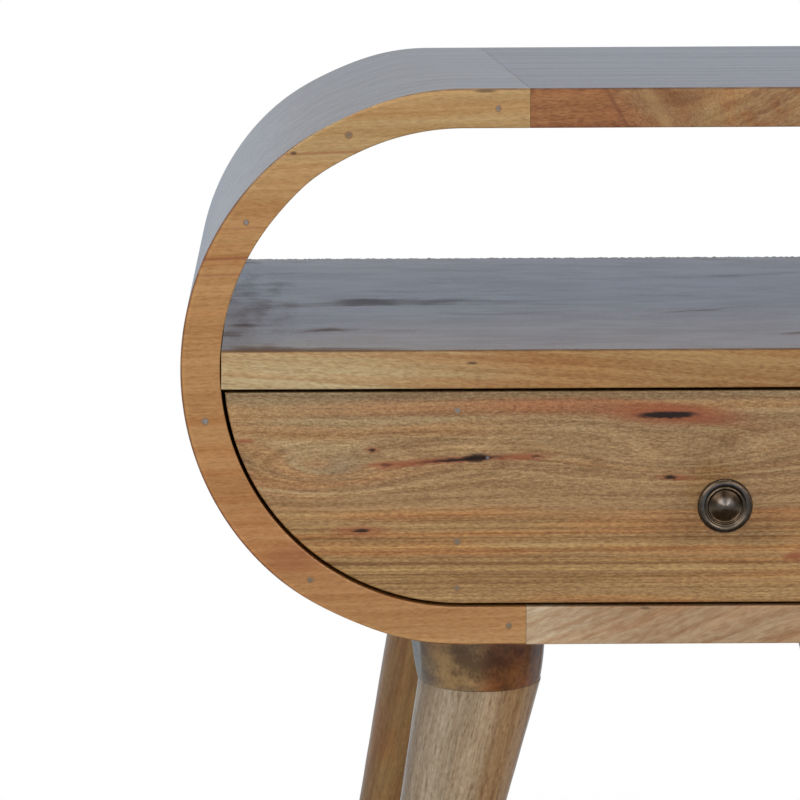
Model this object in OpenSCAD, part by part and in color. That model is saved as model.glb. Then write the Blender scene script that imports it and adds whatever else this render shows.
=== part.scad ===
// Bedside table with a racetrack-shaped wooden casing, an open shelf above one drawer, and four splayed legs.
// Millimetres. X runs across the front, the front faces -Y, and the feet stand on Z = 0.
// The origin is on the floor under the middle of the whole table, its knob included.

/* [Casing] */
// Width of the casing over its round ends
case_w = 496; // [440:2:620]
// Depth of the casing from front face to back face
case_d = 350; // [300:5:420]
// Height of the casing, which is twice the radius of its round ends
case_h = 258; // [240:2:300]
// Height of the whole table
table_h = 510; // [460:5:600]
// Thickness of the rails and of the shelf
board = 18; // [16:0.5:22]
// Extra thickness of the round ends at their outermost point
end_swell = 0.4; // [0:0.1:2]
// Length of the straight returns of a round end before it meets a rail
end_return = 30.5; // [25:0.5:45]
// Thickness of the nailed layers on the front and on the back of a round end
layer = 24; // [18:1:30]
// Radius of the rounded edges of the casing, the shelf and the drawer front
ease = 0.8; // [0.3:0.1:2]

/* [Shelf and back] */
// Height of the shelf's top face above the middle of the casing
shelf_rise = 9.7; // [-10:0.1:25]
// Thickness of the panel behind the drawer
panel_t = 5; // [4:0.5:8]
// Distance from the casing's back face to that panel
panel_inset = 10; // [7:0.5:15]
// Depth of the groove that holds that panel
panel_groove = 5; // [3:0.5:8]

/* [Drawer] */
// Thickness of the drawer front
front_t = 18; // [15:0.5:22]
// Gap all round the drawer front
front_gap = 1.6; // [1:0.1:3]
// How far the drawer front sits behind the casing's front face
front_recess = 1; // [0:0.1:3]
// Distance from the end of the casing's straight part out to the middle of each side board
side_from_bend = 1.8; // [-12:0.1:8]
// Thickness of the drawer's side and back boards
side_t = 12; // [10:0.5:15]
// Gap between the top of the side boards and the shelf
side_headroom = 4; // [2:0.5:12]
// Depth of the housings for the side boards in the drawer front
front_housing = 4; // [2:0.5:8]
// Distance from the end of the side boards to the drawer's back board
back_inset = 12; // [5:1:40]
// Thickness of the drawer's bottom panel
bottom_t = 4; // [3:0.5:6]
// Height of the bottom panel above the lower edge of the side boards
bottom_lift = 12; // [10:0.5:18]
// Depth of the grooves for the bottom panel
bottom_groove = 4; // [3:0.5:7]
// Running gap between the drawer and what carries and guides it
run_gap = 0.3; // [0.2:0.05:1]

/* [Drawer guides and stops] */
// Width of the guide strips beside the drawer
guide_w = 14; // [10:0.5:18]
// Height of the guide strips and stop blocks above the casing's floor
guide_h = 16; // [12:1:25]
// Gap between the drawer front and the guide strips behind it
guide_gap = 4; // [2:0.5:20]
// Width of the stop blocks behind the drawer
stop_w = 36; // [24:1:50]
// Depth of the stop blocks
stop_d = 24; // [16:1:30]

/* [Knob] */
// Diameter of the knob's rim
knob_d = 25.2; // [22:0.2:36]
// Length of the knob from the drawer front to the top of its dome
knob_len = 24; // [20:0.5:32]
// Thickness of the knob's rim
knob_rim_t = 4.2; // [3:0.1:5]
// Diameter of the knob's foot
knob_foot_d = 14; // [12:0.5:20]
// Thickness of the knob's foot
knob_foot_t = 2.4; // [1.5:0.1:4]
// Diameter of the knob's neck
knob_neck_d = 9.6; // [8:0.2:11]
// Diameter of the dome in the middle of the knob
dome_d = 13; // [9:0.2:14]
// Thread diameter of the knob's screw
knob_screw_d = 4; // [3:0.5:5]

/* [Legs] */
// Diameter of a leg at its top, measured square to its axis
leg_top_d = 57.8; // [45:0.2:64]
// Diameter of a leg at the floor, measured square to its axis
leg_foot_d = 29; // [22:0.5:40]
// Sideways lean of the legs in degrees
lean_side = 12.2; // [1:0.1:16]
// Forward and backward lean of the legs in degrees
lean_front = 6.8; // [0:0.1:8]
// Distance from the end of the straight part of the casing to a leg's top centre
leg_in = 12; // [8:0.5:40]
// Distance from the casing's front or back face to a leg's top centre
leg_y = 50; // [45:1:80]
// Diameter of a collar where it meets the casing
collar_top_d = 65; // [60:0.5:72]
// Diameter of a collar where it meets the leg
collar_foot_d = 58.8; // [46:0.2:59.8]
// Height of a collar
collar_h = 28; // [18:1:40]

/* [Fasteners] */
// Diameter of the dowels
dowel_d = 8; // [6:1:10]
// Length of the dowels between the rails and the round ends
rail_dowel_len = 40; // [30:2:50]
// Length of the dowels between the shelf and the round ends
shelf_dowel_len = 32; // [26:1:40]
// Diameter of the nails
nail_d = 2.8; // [2:0.1:3.5]
// Length of the nails
nail_len = 40; // [34:1:60]
// Thread diameter of the leg bolts
bolt_d = 8; // [6:1:9]
// Length of the leg bolts
bolt_len = 76; // [64:2:90]
// Outer diameter of the threaded inserts that the leg bolts screw into
insert_d = 12; // [11:0.5:14]
// Length of the threaded inserts
insert_len = 13; // [10:1:14]
// Diameter of the screws in the guide strips and stop blocks
wood_screw_d = 3.5; // [3:0.5:4.5]

/* [Hidden] */
$fn = 96;

// Gap left for glue on curved seats, in grooves and round fasteners
glue = 0.1;
// How far a cutting shape runs past the face that it cuts
past = 1;

// Casing
outer_r = case_h / 2;
outer_x = case_w / 2 - outer_r;
inner_r = outer_r - board;
inner_x = outer_x - end_swell;
joint_x = outer_x - end_return;
mid_z = table_h - outer_r;
floor_z = mid_z - inner_r;
under_z = table_h - case_h;
knob_proud = knob_len - front_recess;
front_y = knob_proud - (case_d + knob_proud) / 2;
back_y = front_y + case_d;
core_front_y = front_y + layer;
core_back_y = back_y - layer;

// Shelf and back panel
shelf_top = mid_z + shelf_rise;
shelf_under = shelf_top - board;
panel_y = back_y - panel_inset - panel_t;

// Stop blocks, which set how far the drawer goes in
stop_y = panel_y - stop_d;
stop_x = inner_x - stop_w / 2;

// Drawer
drawer_y = front_y + front_recess;
box_y = drawer_y + front_t;
drawer_top = shelf_under - front_gap;
drawer_low = floor_z + front_gap;
knob_z = (drawer_top + drawer_low) / 2;
side_y = box_y - front_housing;
side_end_y = stop_y - run_gap;
side_low = floor_z + run_gap;
side_top = shelf_under - side_headroom;
side_x = outer_x + side_from_bend;
side_in_x = side_x - side_t / 2;
side_out_x = side_x + side_t / 2;
bottom_z = side_low + bottom_lift;
back_board_y = side_end_y - back_inset - side_t;

// Knob, in lengths measured forwards from the drawer front
knob_r = knob_d / 2;
neck_r = knob_neck_d / 2;
dome_r = dome_d / 2;
rim_r = knob_rim_t / 2;
// The dome stands this much further forward than the rim
dome_lead = 1.6;
rim_z = knob_len - dome_lead - rim_r;
// The dish between the rim and the dome lies this much behind the front of the rim
dish_depth = 1.9;
dish_z = rim_z + rim_r - dish_depth;
// Thin bead on the inner side of the rim
bead_r = 0.55;
bead_x = knob_r - knob_rim_t;
// Hollow round that forms the neck
neck_hollow_r = (rim_z - rim_r - knob_foot_t) / 2;
// Knob screw: how far it goes into the knob, its washer and its head
screw_in_knob = 11;
washer_t = 1;
screw_head_h = 2.2;

// Guide strips
guide_x = side_out_x + run_gap;
guide_y = box_y + guide_gap;
guide_len = stop_y - guide_y;

// Legs and collars
collar_z = under_z - collar_h;
leg_x = outer_x - leg_in;
leg_tilt = atan(norm([tan(lean_side), tan(lean_front)]));
leg_turn = atan2(tan(lean_front), tan(lean_side));
leg_len = collar_z / cos(leg_tilt);
leg_over = leg_top_d;
leg_taper = (leg_top_d - leg_foot_d) / 2 / leg_len;
// Turns a leg's cone about its own axis, which keeps its seam off the tips of the level cuts
seam_turn = 90;
bolt_top = under_z + insert_len;
// Wood above a collar's height that is scribed to the round end
collar_scribe = board / 2;

// Depth to which screws and dowels go into an 18 mm board, as a share of its thickness
bite = 0.6 * board;
// Nails in the round part of an end, as angles counted up from its outermost point
nail_angles = [-54.5, -11, 35, 64.5];
// Distance from the rail joint to the nail beside it, above and below
nail_from_joint = [14.5, 8];
// Radius on which those nails stand
nail_r = outer_r - board / 2;
// Dowels stand this far inwards from the leg bolts, and in the middle of the depth
dowel_from_leg = 20;
dowel_depths = [leg_y + dowel_from_leg, case_d / 2, case_d - leg_y - dowel_from_leg];
// Heights of the nails in the drawer front, as shares of its height down from its top
front_nail_shares = [0.085, 0.705, 0.925];
// Heights of the nails in the drawer's back board, as shares of its height
back_nail_shares = [0.25, 0.75];
back_nail_len = 32;
// Pins that hold the drawer's bottom panel up against its back board
pin_d = 1.6;
pin_len = 18;
pin_shares = [-0.8, 0, 0.8];
// Screws in each guide strip, as shares of its length
guide_screw_shares = [0.15, 0.5, 0.85];

// Helper shapes

// A flat outline in X and Z, pushed back along Y from y0
module push_back(y0, length) {
    translate([0, y0 + length, 0])
        rotate([90, 0, 0])
            linear_extrude(length)
                children();
}

// A section in Y and Z, drawn out along X over the whole width of the casing
module draw_across() {
    translate([-case_w / 2 - past, 0, 0])
        rotate([90, 0, 90])
            linear_extrude(case_w + 2 * past)
                children();
}

module rod_x(d, length) {
    rotate([0, 90, 0])
        cylinder(d = d, h = length, center = true);
}

module rod_y(d, length) {
    rotate([-90, 0, 0])
        cylinder(d = d, h = length);
}

// Countersunk screw down along Z, with the face of its head at the origin
module wood_screw(gap = 0) {
    length = guide_h + bite;
    head_h = wood_screw_d / 2;
    translate([0, 0, -length - gap])
        cylinder(d = wood_screw_d + 2 * gap, h = length + gap);
    translate([0, 0, -head_h - gap])
        cylinder(d1 = wood_screw_d + 2 * gap, d2 = 2 * wood_screw_d + 2 * gap, h = head_h + gap);
}

// What a rounded edge takes off a square corner at the origin, whose solid lies towards -X and +Y
module corner_waste() {
    translate([-ease, 0])
        difference() {
            translate([0, -past])
                square([ease + past, ease + past]);
            translate([0, ease])
                circle(ease);
        }
}

// A racetrack-shaped solid round the middle of the casing. Its child is the section in radius and depth
module racetrack(half_x) {
    for (side = [-1, 1])
        translate([side * half_x, 0, mid_z])
            rotate([-90, 0, 0])
                rotate_extrude()
                    children();
    for (flip = [0, 1])
        translate([-half_x, 0, mid_z])
            rotate([0, 90, 0])
                mirror([flip, 0, 0])
                    linear_extrude(2 * half_x)
                        children();
}

// Section of a solid with rounded edges, from its middle to its rim
module solid_section(radius, y0, length, round_front, round_back) {
    difference() {
        translate([0, y0])
            square([radius, length]);
        if (round_front)
            translate([radius, y0])
                corner_waste();
        if (round_back)
            translate([radius, y0 + length])
                mirror([0, 1])
                    corner_waste();
    }
}

// Section of the hollow inside the casing, which opens out over the rounded front and back edges
module hollow_section() {
    translate([0, front_y - past])
        square([inner_r, case_d + 2 * past]);
    translate([inner_r, front_y])
        mirror([1, 0])
            corner_waste();
    translate([inner_r, back_y])
        mirror([1, 0])
            mirror([0, 1])
                corner_waste();
}

// The inside outline of the casing in X and Z, made smaller by a gap
module inside_outline(gap = 0) {
    translate([0, mid_z]) {
        for (side = [-1, 1])
            translate([side * inner_x, 0])
                circle(inner_r - gap);
        translate([-inner_x, gap - inner_r])
            square([2 * inner_x, 2 * (inner_r - gap)]);
    }
}

// Fasteners as sets, which are also the cutters of their holes when they are given a gap

module rail_dowel_set(gap = 0) {
    for (side = [-1, 1], level = [-1, 1], depth = dowel_depths)
        translate([side * joint_x, front_y + depth, mid_z + level * (outer_r - board / 2)])
            rod_x(dowel_d + 2 * gap, rail_dowel_len + 2 * gap);
}

module shelf_dowel_set(gap = 0) {
    middle = inner_x + inner_r + bite - shelf_dowel_len / 2;
    for (side = [-1, 1], depth = dowel_depths)
        translate([side * middle, front_y + depth, shelf_top - board / 2])
            rod_x(dowel_d + 2 * gap, shelf_dowel_len + 2 * gap);
}

// Nails driven through the front layer and the back layer of one round end
module end_nail_set(side, gap = 0) {
    for (face = [0, 1])
        translate([0, face == 0 ? front_y : back_y, mid_z])
            mirror([0, face, 0]) {
                for (angle = nail_angles)
                    translate([side * (outer_x + nail_r * cos(angle)), -gap, nail_r * sin(angle)])
                        rod_y(nail_d + 2 * gap, nail_len + 2 * gap);
                for (level = [0, 1])
                    translate([side * (joint_x + nail_from_joint[level]), -gap, (1 - 2 * level) * nail_r])
                        rod_y(nail_d + 2 * gap, nail_len + 2 * gap);
            }
}

module guide_screw_set(gap = 0) {
    for (side = [-1, 1], share = guide_screw_shares)
        translate([side * (guide_x + guide_w / 2), guide_y + share * guide_len, floor_z + guide_h])
            wood_screw(gap);
}

module stop_screw_set(gap = 0) {
    for (side = [-1, 1])
        translate([side * stop_x, stop_y + stop_d / 2, floor_z + guide_h])
            wood_screw(gap);
}

module insert_set(gap = 0) {
    for (side = [-1, 1], y = [front_y + leg_y, back_y - leg_y])
        translate([side * leg_x, y, under_z - gap])
            cylinder(d = insert_d + 2 * gap, h = insert_len + 2 * gap);
}

module bolt_set(gap = 0) {
    for (side = [-1, 1], y = [front_y + leg_y, back_y - leg_y])
        translate([side * leg_x, y, bolt_top - bolt_len - gap])
            cylinder(d = bolt_d + 2 * gap, h = bolt_len + gap);
}

module front_nail_set(gap = 0) {
    for (side = [-1, 1], share = front_nail_shares)
        translate([side * side_x, drawer_y - gap, drawer_top - share * (drawer_top - drawer_low)])
            rod_y(nail_d + 2 * gap, nail_len + 2 * gap);
}

module back_nail_set(gap = 0) {
    board_low = bottom_z + bottom_t;
    for (side = [-1, 1], share = back_nail_shares)
        translate([
            side * (side_out_x - back_nail_len / 2),
            back_board_y + side_t / 2,
            board_low + share * (side_top - board_low)
        ])
            rod_x(pin_d + 2 * gap, back_nail_len + 2 * gap);
}

module pin_set(gap = 0) {
    for (share = pin_shares)
        translate([share * side_in_x, back_board_y + side_t / 2, bottom_z - gap])
            cylinder(d = pin_d + 2 * gap, h = pin_len + 2 * gap);
}

// Casing pieces

// The groove that holds the back panel under the shelf, and the panel's own outline with a gap
module panel_outline(gap = 0) {
    intersection() {
        inside_outline(gap - panel_groove);
        translate([-case_w / 2, under_z])
            square([case_w, shelf_under + panel_groove - gap - under_z]);
    }
}

module panel_groove_cut() {
    push_back(panel_y - glue, panel_t + 2 * glue)
        panel_outline();
}

// Everything that is bored or grooved in the casing
module casing_cuts() {
    rail_dowel_set(glue);
    shelf_dowel_set(glue);
    for (side = [-1, 1])
        end_nail_set(side, glue);
    guide_screw_set(glue);
    stop_screw_set(glue);
    insert_set(glue);
    panel_groove_cut();
}

// The ring of the casing between two depths
module casing_ring(y0, length, round_front, round_back) {
    difference() {
        racetrack(outer_x)
            solid_section(outer_r, y0, length, round_front, round_back);
        racetrack(inner_x)
            hollow_section();
        casing_cuts();
    }
}

// The part of the ring that belongs to one round end
module end_piece(side, y0, length, round_front = false, round_back = false) {
    reach = case_w / 2 + past - joint_x;
    color("peru")
        intersection() {
            casing_ring(y0, length, round_front, round_back);
            translate([side < 0 ? -case_w / 2 - past : joint_x, y0 - past, under_z - past])
                cube([reach, length + 2 * past, case_h + 2 * past]);
        }
}

module end_front(side) end_piece(side, front_y, layer, round_front = true);
module end_core(side) end_piece(side, core_front_y, core_back_y - core_front_y);
module end_back(side) end_piece(side, core_back_y, layer, round_back = true);

module left_end_front() end_front(-1);
module left_end_core() end_core(-1);
module left_end_back() end_back(-1);
module right_end_front() end_front(1);
module right_end_core() end_core(1);
module right_end_back() end_back(1);

// The straight part of the ring above or below the middle of the casing
module rail(z0) {
    intersection() {
        casing_ring(front_y, case_d, true, true);
        translate([-joint_x, front_y - past, z0])
            cube([2 * joint_x, case_d + 2 * past, outer_r + past]);
    }
}

module top_rail() {
    color("sienna")
        rail(mid_z);
}

module bottom_rail() {
    color("burlywood")
        rail(under_z - past);
}

// The shelf's ends follow the round ends of the casing, and its front edge is flush with it
module shelf() {
    color("tan")
        difference() {
            intersection() {
                draw_across()
                    shelf_section();
                push_back(front_y - past, case_d + 2 * past)
                    inside_outline(glue);
            }
            shelf_dowel_set(glue);
            panel_groove_cut();
        }
}

module shelf_section() {
    difference() {
        translate([front_y, shelf_under])
            square([case_d, board]);
        for (end = [0, 1], face = [0, 1])
            translate([end == 0 ? front_y : back_y, face == 0 ? shelf_under : shelf_top])
                mirror([1 - end, 0])
                    mirror([0, face])
                        corner_waste();
    }
}

module back_panel() {
    color("wheat")
        difference() {
            push_back(panel_y, panel_t)
                panel_outline(glue);
            for (side = [-1, 1])
                end_nail_set(side, glue);
        }
}

module rail_dowels() {
    color("beige")
        rail_dowel_set();
}

module shelf_dowels() {
    color("beige")
        shelf_dowel_set();
}

module left_end_nails() {
    color("dimgray")
        end_nail_set(-1);
}

module right_end_nails() {
    color("dimgray")
        end_nail_set(1);
}

// Strips and blocks on the casing's floor, scribed to the round ends where they lie over them

module floor_block(x0, width, y0, length) {
    difference() {
        intersection() {
            translate([x0, y0, floor_z])
                cube([width, length, guide_h]);
            push_back(y0 - past, length + 2 * past)
                inside_outline(glue);
        }
        guide_screw_set(glue);
        stop_screw_set(glue);
    }
}

module left_drawer_guide() {
    color("navajowhite")
        floor_block(-guide_x - guide_w, guide_w, guide_y, guide_len);
}

module right_drawer_guide() {
    color("navajowhite")
        floor_block(guide_x, guide_w, guide_y, guide_len);
}

module drawer_stops() {
    color("navajowhite")
        for (side = [-1, 1])
            floor_block(side * stop_x - stop_w / 2, stop_w, stop_y, stop_d);
}

module guide_screws() {
    color("silver") {
        guide_screw_set();
        stop_screw_set();
    }
}

// Drawer pieces

// The front follows the casing's lower half, with its own rounded edges
module drawer_front() {
    color("darkkhaki")
        difference() {
            intersection() {
                racetrack(inner_x)
                    solid_section(inner_r - front_gap, drawer_y, front_t, true, false);
                draw_across()
                    drawer_front_section();
            }
            for (side = [-1, 1])
                side_board(side, glue);
            bottom_board(glue);
            front_nail_set(glue);
            knob_screw_rod(glue);
        }
}

module drawer_front_section() {
    difference() {
        translate([drawer_y, floor_z])
            square([front_t, drawer_top - floor_z]);
        translate([drawer_y, drawer_top])
            mirror([1, 0])
                mirror([0, 1])
                    corner_waste();
    }
}

// One side board. Its lower edge follows the casing's floor with the running gap
module side_board(side, gap = 0) {
    intersection() {
        translate([side * side_x - side_t / 2 - gap, side_y - gap, floor_z])
            cube([side_t + 2 * gap, side_end_y - side_y + gap, side_top + gap - floor_z]);
        push_back(side_y - past, side_end_y - side_y + 2 * past)
            inside_outline(run_gap - gap);
    }
}

module drawer_side(side) {
    color("burlywood")
        difference() {
            side_board(side);
            bottom_board(glue);
            front_nail_set(glue);
            back_nail_set(glue);
        }
}

module drawer_left_side() drawer_side(-1);
module drawer_right_side() drawer_side(1);

module bottom_board(gap = 0) {
    half = side_in_x + bottom_groove - glue + gap;
    y0 = box_y - bottom_groove + glue - gap;
    translate([-half, y0, bottom_z - gap])
        cube([2 * half, side_end_y - y0, bottom_t + 2 * gap]);
}

module drawer_bottom() {
    color("wheat")
        difference() {
            bottom_board();
            front_nail_set(glue);
            pin_set(glue);
        }
}

module drawer_back() {
    board_low = bottom_z + bottom_t;
    color("burlywood")
        difference() {
            translate([-side_in_x, back_board_y, board_low])
                cube([2 * side_in_x, side_t, side_top - board_low]);
            back_nail_set(glue);
            pin_set(glue);
        }
}

module drawer_front_nails() {
    color("dimgray")
        front_nail_set();
}

module drawer_back_nails() {
    color("dimgray")
        back_nail_set();
}

module drawer_bottom_pins() {
    color("dimgray")
        pin_set();
}

// Knob, drawn as a section of radius and length from the drawer front, and turned

module knob_section() {
    difference() {
        union() {
            square([knob_foot_d / 2, knob_foot_t]);
            square([neck_r + neck_hollow_r / 2, rim_z]);
            translate([0, rim_z - rim_r])
                square([bead_x, dish_z - rim_z + rim_r]);
            translate([0, rim_z - rim_r])
                square([knob_r - rim_r, rim_r]);
            translate([knob_r - rim_r, rim_z])
                circle(rim_r);
            translate([bead_x, dish_z])
                circle(bead_r);
            dome_section();
        }
        translate([neck_r + neck_hollow_r, knob_foot_t + neck_hollow_r])
            circle(neck_hollow_r);
        translate([-knob_r, -past])
            square([knob_r, knob_len + 2 * past]);
    }
}

// Slice of a round, as wide as the dome and as high as it stands over the dish
module dome_section() {
    rise = knob_len - dish_z;
    ball_r = (dome_r * dome_r + rise * rise) / (2 * rise);
    intersection() {
        translate([0, knob_len - ball_r])
            circle(ball_r);
        translate([0, dish_z - past])
            square([dome_r, rise + past]);
    }
}

module knob() {
    color("darkslategray")
        difference() {
            translate([0, drawer_y, knob_z])
                rotate([90, 0, 0])
                    rotate_extrude()
                        knob_section();
            knob_screw_rod(glue);
        }
}

// The rod of the knob's screw, from under its head to its tip in the knob
module knob_screw_rod(gap = 0) {
    y0 = drawer_y - screw_in_knob - gap;
    translate([0, y0, knob_z])
        rod_y(knob_screw_d + 2 * gap, box_y + washer_t - y0);
}

module knob_screw() {
    color("silver") {
        knob_screw_rod();
        translate([0, box_y + washer_t, knob_z])
            rod_y(2 * knob_screw_d, screw_head_h);
    }
}

module knob_washer() {
    color("silver")
        difference() {
            translate([0, box_y, knob_z])
                rod_y(3 * knob_screw_d, washer_t);
            knob_screw_rod(glue);
        }
}

// Legs and collars

// The collar swells upwards in one arc from the leg's width, and its top is scribed to the casing
module collar(side, y) {
    drop = (collar_top_d - collar_foot_d) / 2;
    arc_r = (collar_h * collar_h + drop * drop) / (2 * drop);
    color("saddlebrown")
        difference() {
            translate([side * leg_x, y, collar_z]) {
                rotate_extrude()
                    intersection() {
                        square([collar_top_d / 2, collar_h]);
                        translate([collar_top_d / 2 - arc_r, collar_h])
                            circle(arc_r, $fn = 360);
                    }
                translate([0, 0, collar_h])
                    cylinder(d = collar_top_d, h = collar_scribe);
            }
            racetrack(outer_x)
                solid_section(outer_r + glue, front_y - past, case_d + 2 * past, false, false);
            bolt_set(glue);
        }
}

// A tapered round leg that leans outwards and is cut level at its top and at the floor
module leg(side, end) {
    y = end < 0 ? front_y + leg_y : back_y - leg_y;
    turn = atan2(end * sin(leg_turn), side * cos(leg_turn));
    color("tan")
        difference() {
            intersection() {
                translate([side * leg_x, y, collar_z])
                    rotate([0, 180 - leg_tilt, turn])
                        rotate([0, 0, seam_turn])
                            translate([0, 0, -leg_over])
                                cylinder(
                                    r1 = leg_top_d / 2 + leg_over * leg_taper,
                                    r2 = leg_foot_d / 2 - leg_over * leg_taper,
                                    h = leg_len + 2 * leg_over
                                );
                translate([-case_w, -case_d, 0])
                    cube([2 * case_w, 2 * case_d, collar_z]);
            }
            bolt_set(glue);
        }
}

module front_left_collar() collar(-1, front_y + leg_y);
module front_right_collar() collar(1, front_y + leg_y);
module back_left_collar() collar(-1, back_y - leg_y);
module back_right_collar() collar(1, back_y - leg_y);

module front_left_leg() leg(-1, -1);
module front_right_leg() leg(1, -1);
module back_left_leg() leg(-1, 1);
module back_right_leg() leg(1, 1);

module leg_bolts() {
    color("silver")
        bolt_set();
}

module leg_inserts() {
    color("gold")
        difference() {
            insert_set();
            bolt_set(glue);
        }
}

left_end_front();
left_end_core();
left_end_back();
right_end_front();
right_end_core();
right_end_back();
top_rail();
bottom_rail();
shelf();
back_panel();
rail_dowels();
shelf_dowels();
left_end_nails();
right_end_nails();
left_drawer_guide();
right_drawer_guide();
drawer_stops();
guide_screws();
drawer_front();
drawer_left_side();
drawer_right_side();
drawer_back();
drawer_bottom();
drawer_front_nails();
drawer_back_nails();
drawer_bottom_pins();
knob();
knob_screw();
knob_washer();
front_left_collar();
front_right_collar();
back_left_collar();
back_right_collar();
front_left_leg();
front_right_leg();
back_left_leg();
back_right_leg();
leg_bolts();
leg_inserts();
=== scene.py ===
"""Bedside table with a round-ended wooden casing, dressed around its packed model.

The file is laid out as an add-on, with one operator for each piece, and is run as a script.
Lengths are in metres. X runs across the front, the front faces -Y, and the feet stand on Z = 0.
"""
import math

import bmesh
import bpy
from bpy.props import FloatProperty, FloatVectorProperty, IntProperty, PointerProperty
from mathutils import Matrix, Vector, noise


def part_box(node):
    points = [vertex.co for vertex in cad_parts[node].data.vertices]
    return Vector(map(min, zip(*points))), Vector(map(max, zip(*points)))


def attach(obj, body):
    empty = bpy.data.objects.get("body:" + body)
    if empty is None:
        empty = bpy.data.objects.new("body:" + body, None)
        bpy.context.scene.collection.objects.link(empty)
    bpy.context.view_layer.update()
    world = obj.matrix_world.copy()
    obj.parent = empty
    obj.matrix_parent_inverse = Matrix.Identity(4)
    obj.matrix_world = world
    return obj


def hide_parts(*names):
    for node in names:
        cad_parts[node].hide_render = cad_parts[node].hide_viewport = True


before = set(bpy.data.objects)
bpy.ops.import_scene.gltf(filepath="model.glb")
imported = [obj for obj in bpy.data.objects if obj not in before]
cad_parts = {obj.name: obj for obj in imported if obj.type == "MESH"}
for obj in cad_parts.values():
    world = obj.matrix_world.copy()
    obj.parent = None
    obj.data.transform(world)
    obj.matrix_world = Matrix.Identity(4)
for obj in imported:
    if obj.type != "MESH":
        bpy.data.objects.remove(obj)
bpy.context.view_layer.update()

bl_info = {
    "name": "Round-ended Bedside Table",
    "version": (1, 0, 0),
    "blender": (4, 5, 0),
    "location": "View3D > Sidebar > Bedside Table",
    "description": "Builds the wood, the metal and the stage of a bedside table around its packed model",
    "category": "Object",
}

MM = 0.001
SIDES = {"left": -1, "right": 1}
ENDS = {"front": -1, "back": 1}
WHITE = (1.0, 1.0, 1.0)


def tone(red, green, blue):
    """The linear colour of three 8-bit values, as a colour picker shows them."""
    shares = (value / 255 for value in (red, green, blue))
    return tuple(s / 12.92 if s <= 0.04045 else ((s + 0.055) / 1.055) ** 2.4 for s in shares)


def amount(name, description, default, **limits):
    """A number that a user may change."""
    return FloatProperty(name=name, description=description, default=default, **limits)


def length(name, description, millimetres, low, high):
    """A length that a user may change, between two others."""
    limits = {"min": low * MM, "max": high * MM}
    return amount(name, description, millimetres * MM, subtype="DISTANCE", unit="LENGTH", **limits)


def linear_colour(name, description, linear, most=1.0):
    """A colour that a user may change, in linear values."""
    return FloatVectorProperty(
        name=name, description=description, subtype="COLOR", size=3, min=0, max=most, default=linear
    )


def colour(name, description, red, green, blue):
    """A colour that a user may change, in 8-bit values."""
    return linear_colour(name, description, tone(red, green, blue))


# Sizes that the packed model gives

END_LOW, END_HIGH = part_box("left_end_front")
BACK_LOW, BACK_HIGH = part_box("left_end_back")
RAIL_LOW, RAIL_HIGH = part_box("top_rail")
SHELF_LOW, SHELF_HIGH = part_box("shelf")
KNOB_LOW, KNOB_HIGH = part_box("knob")
OUTER_R = (END_HIGH.z - END_LOW.z) / 2
MID_Z = (END_HIGH.z + END_LOW.z) / 2
OUTER_X = -END_LOW.x - OUTER_R
JOINT_X = -END_HIGH.x
INNER_R = OUTER_R - (RAIL_HIGH.z - RAIL_LOW.z)
FRONT_Y = END_LOW.y
BACK_Y = BACK_HIGH.y
CORE_FRONT_Y = END_HIGH.y
CORE_BACK_Y = BACK_LOW.y
DRAWER_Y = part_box("drawer_front")[0].y
KNOB_Z = (KNOB_LOW.z + KNOB_HIGH.z) / 2

# Sizes that the boxes of the packed nodes don't give

LEG_TOP_R = 28.9 * MM
LEG_FOOT_R = 14.5 * MM
LEAN_SIDE = math.radians(12.2)
LEAN_FRONT = math.radians(6.8)
COLLAR_TOP_R = 32.5 * MM
COLLAR_FOOT_R = 29.4 * MM
COLLAR_SHIFT = 1.2 * MM
TURNED_EDGE = 0.3 * MM
FOOT_EDGE = 1.0 * MM
SHELF_PLAY = 0.1 * MM

LACQUER = {"IOR": 1.35, "Coat Roughness": 0.12, "Coat IOR": 1.3}
THIN_LACQUER = {**LACQUER, "Coat Weight": 0.7}

# Radius and distance from the drawer front of the points that the knob is turned through
KNOB_PROFILE = (
    (0.05, 0.0), (6.9, 0.0), (7.0, 0.1), (7.0, 2.2), (6.8, 2.5), (6.0, 4.2), (5.1, 7.0), (4.8, 10.3),
    (5.1, 13.6), (6.2, 16.4), (8.4, 18.0), (10.6, 18.5), (11.9, 19.1), (12.55, 20.1), (12.6, 20.8),
    (12.2, 21.6), (11.4, 22.2), (10.5, 22.4), (9.8, 22.2), (9.5, 21.95), (9.2, 21.65), (8.9, 21.45),
    (8.65, 21.45), (8.45, 21.6), (8.25, 21.7), (8.05, 21.65), (7.85, 21.4), (7.7, 21.15), (7.5, 20.8),
    (7.25, 20.7), (6.8, 20.85), (6.0, 21.27), (4.8, 22.02), (3.6, 22.74), (2.4, 23.36), (1.2, 23.82),
    (0.6, 23.95), (0.05, 24.0),
)


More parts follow.
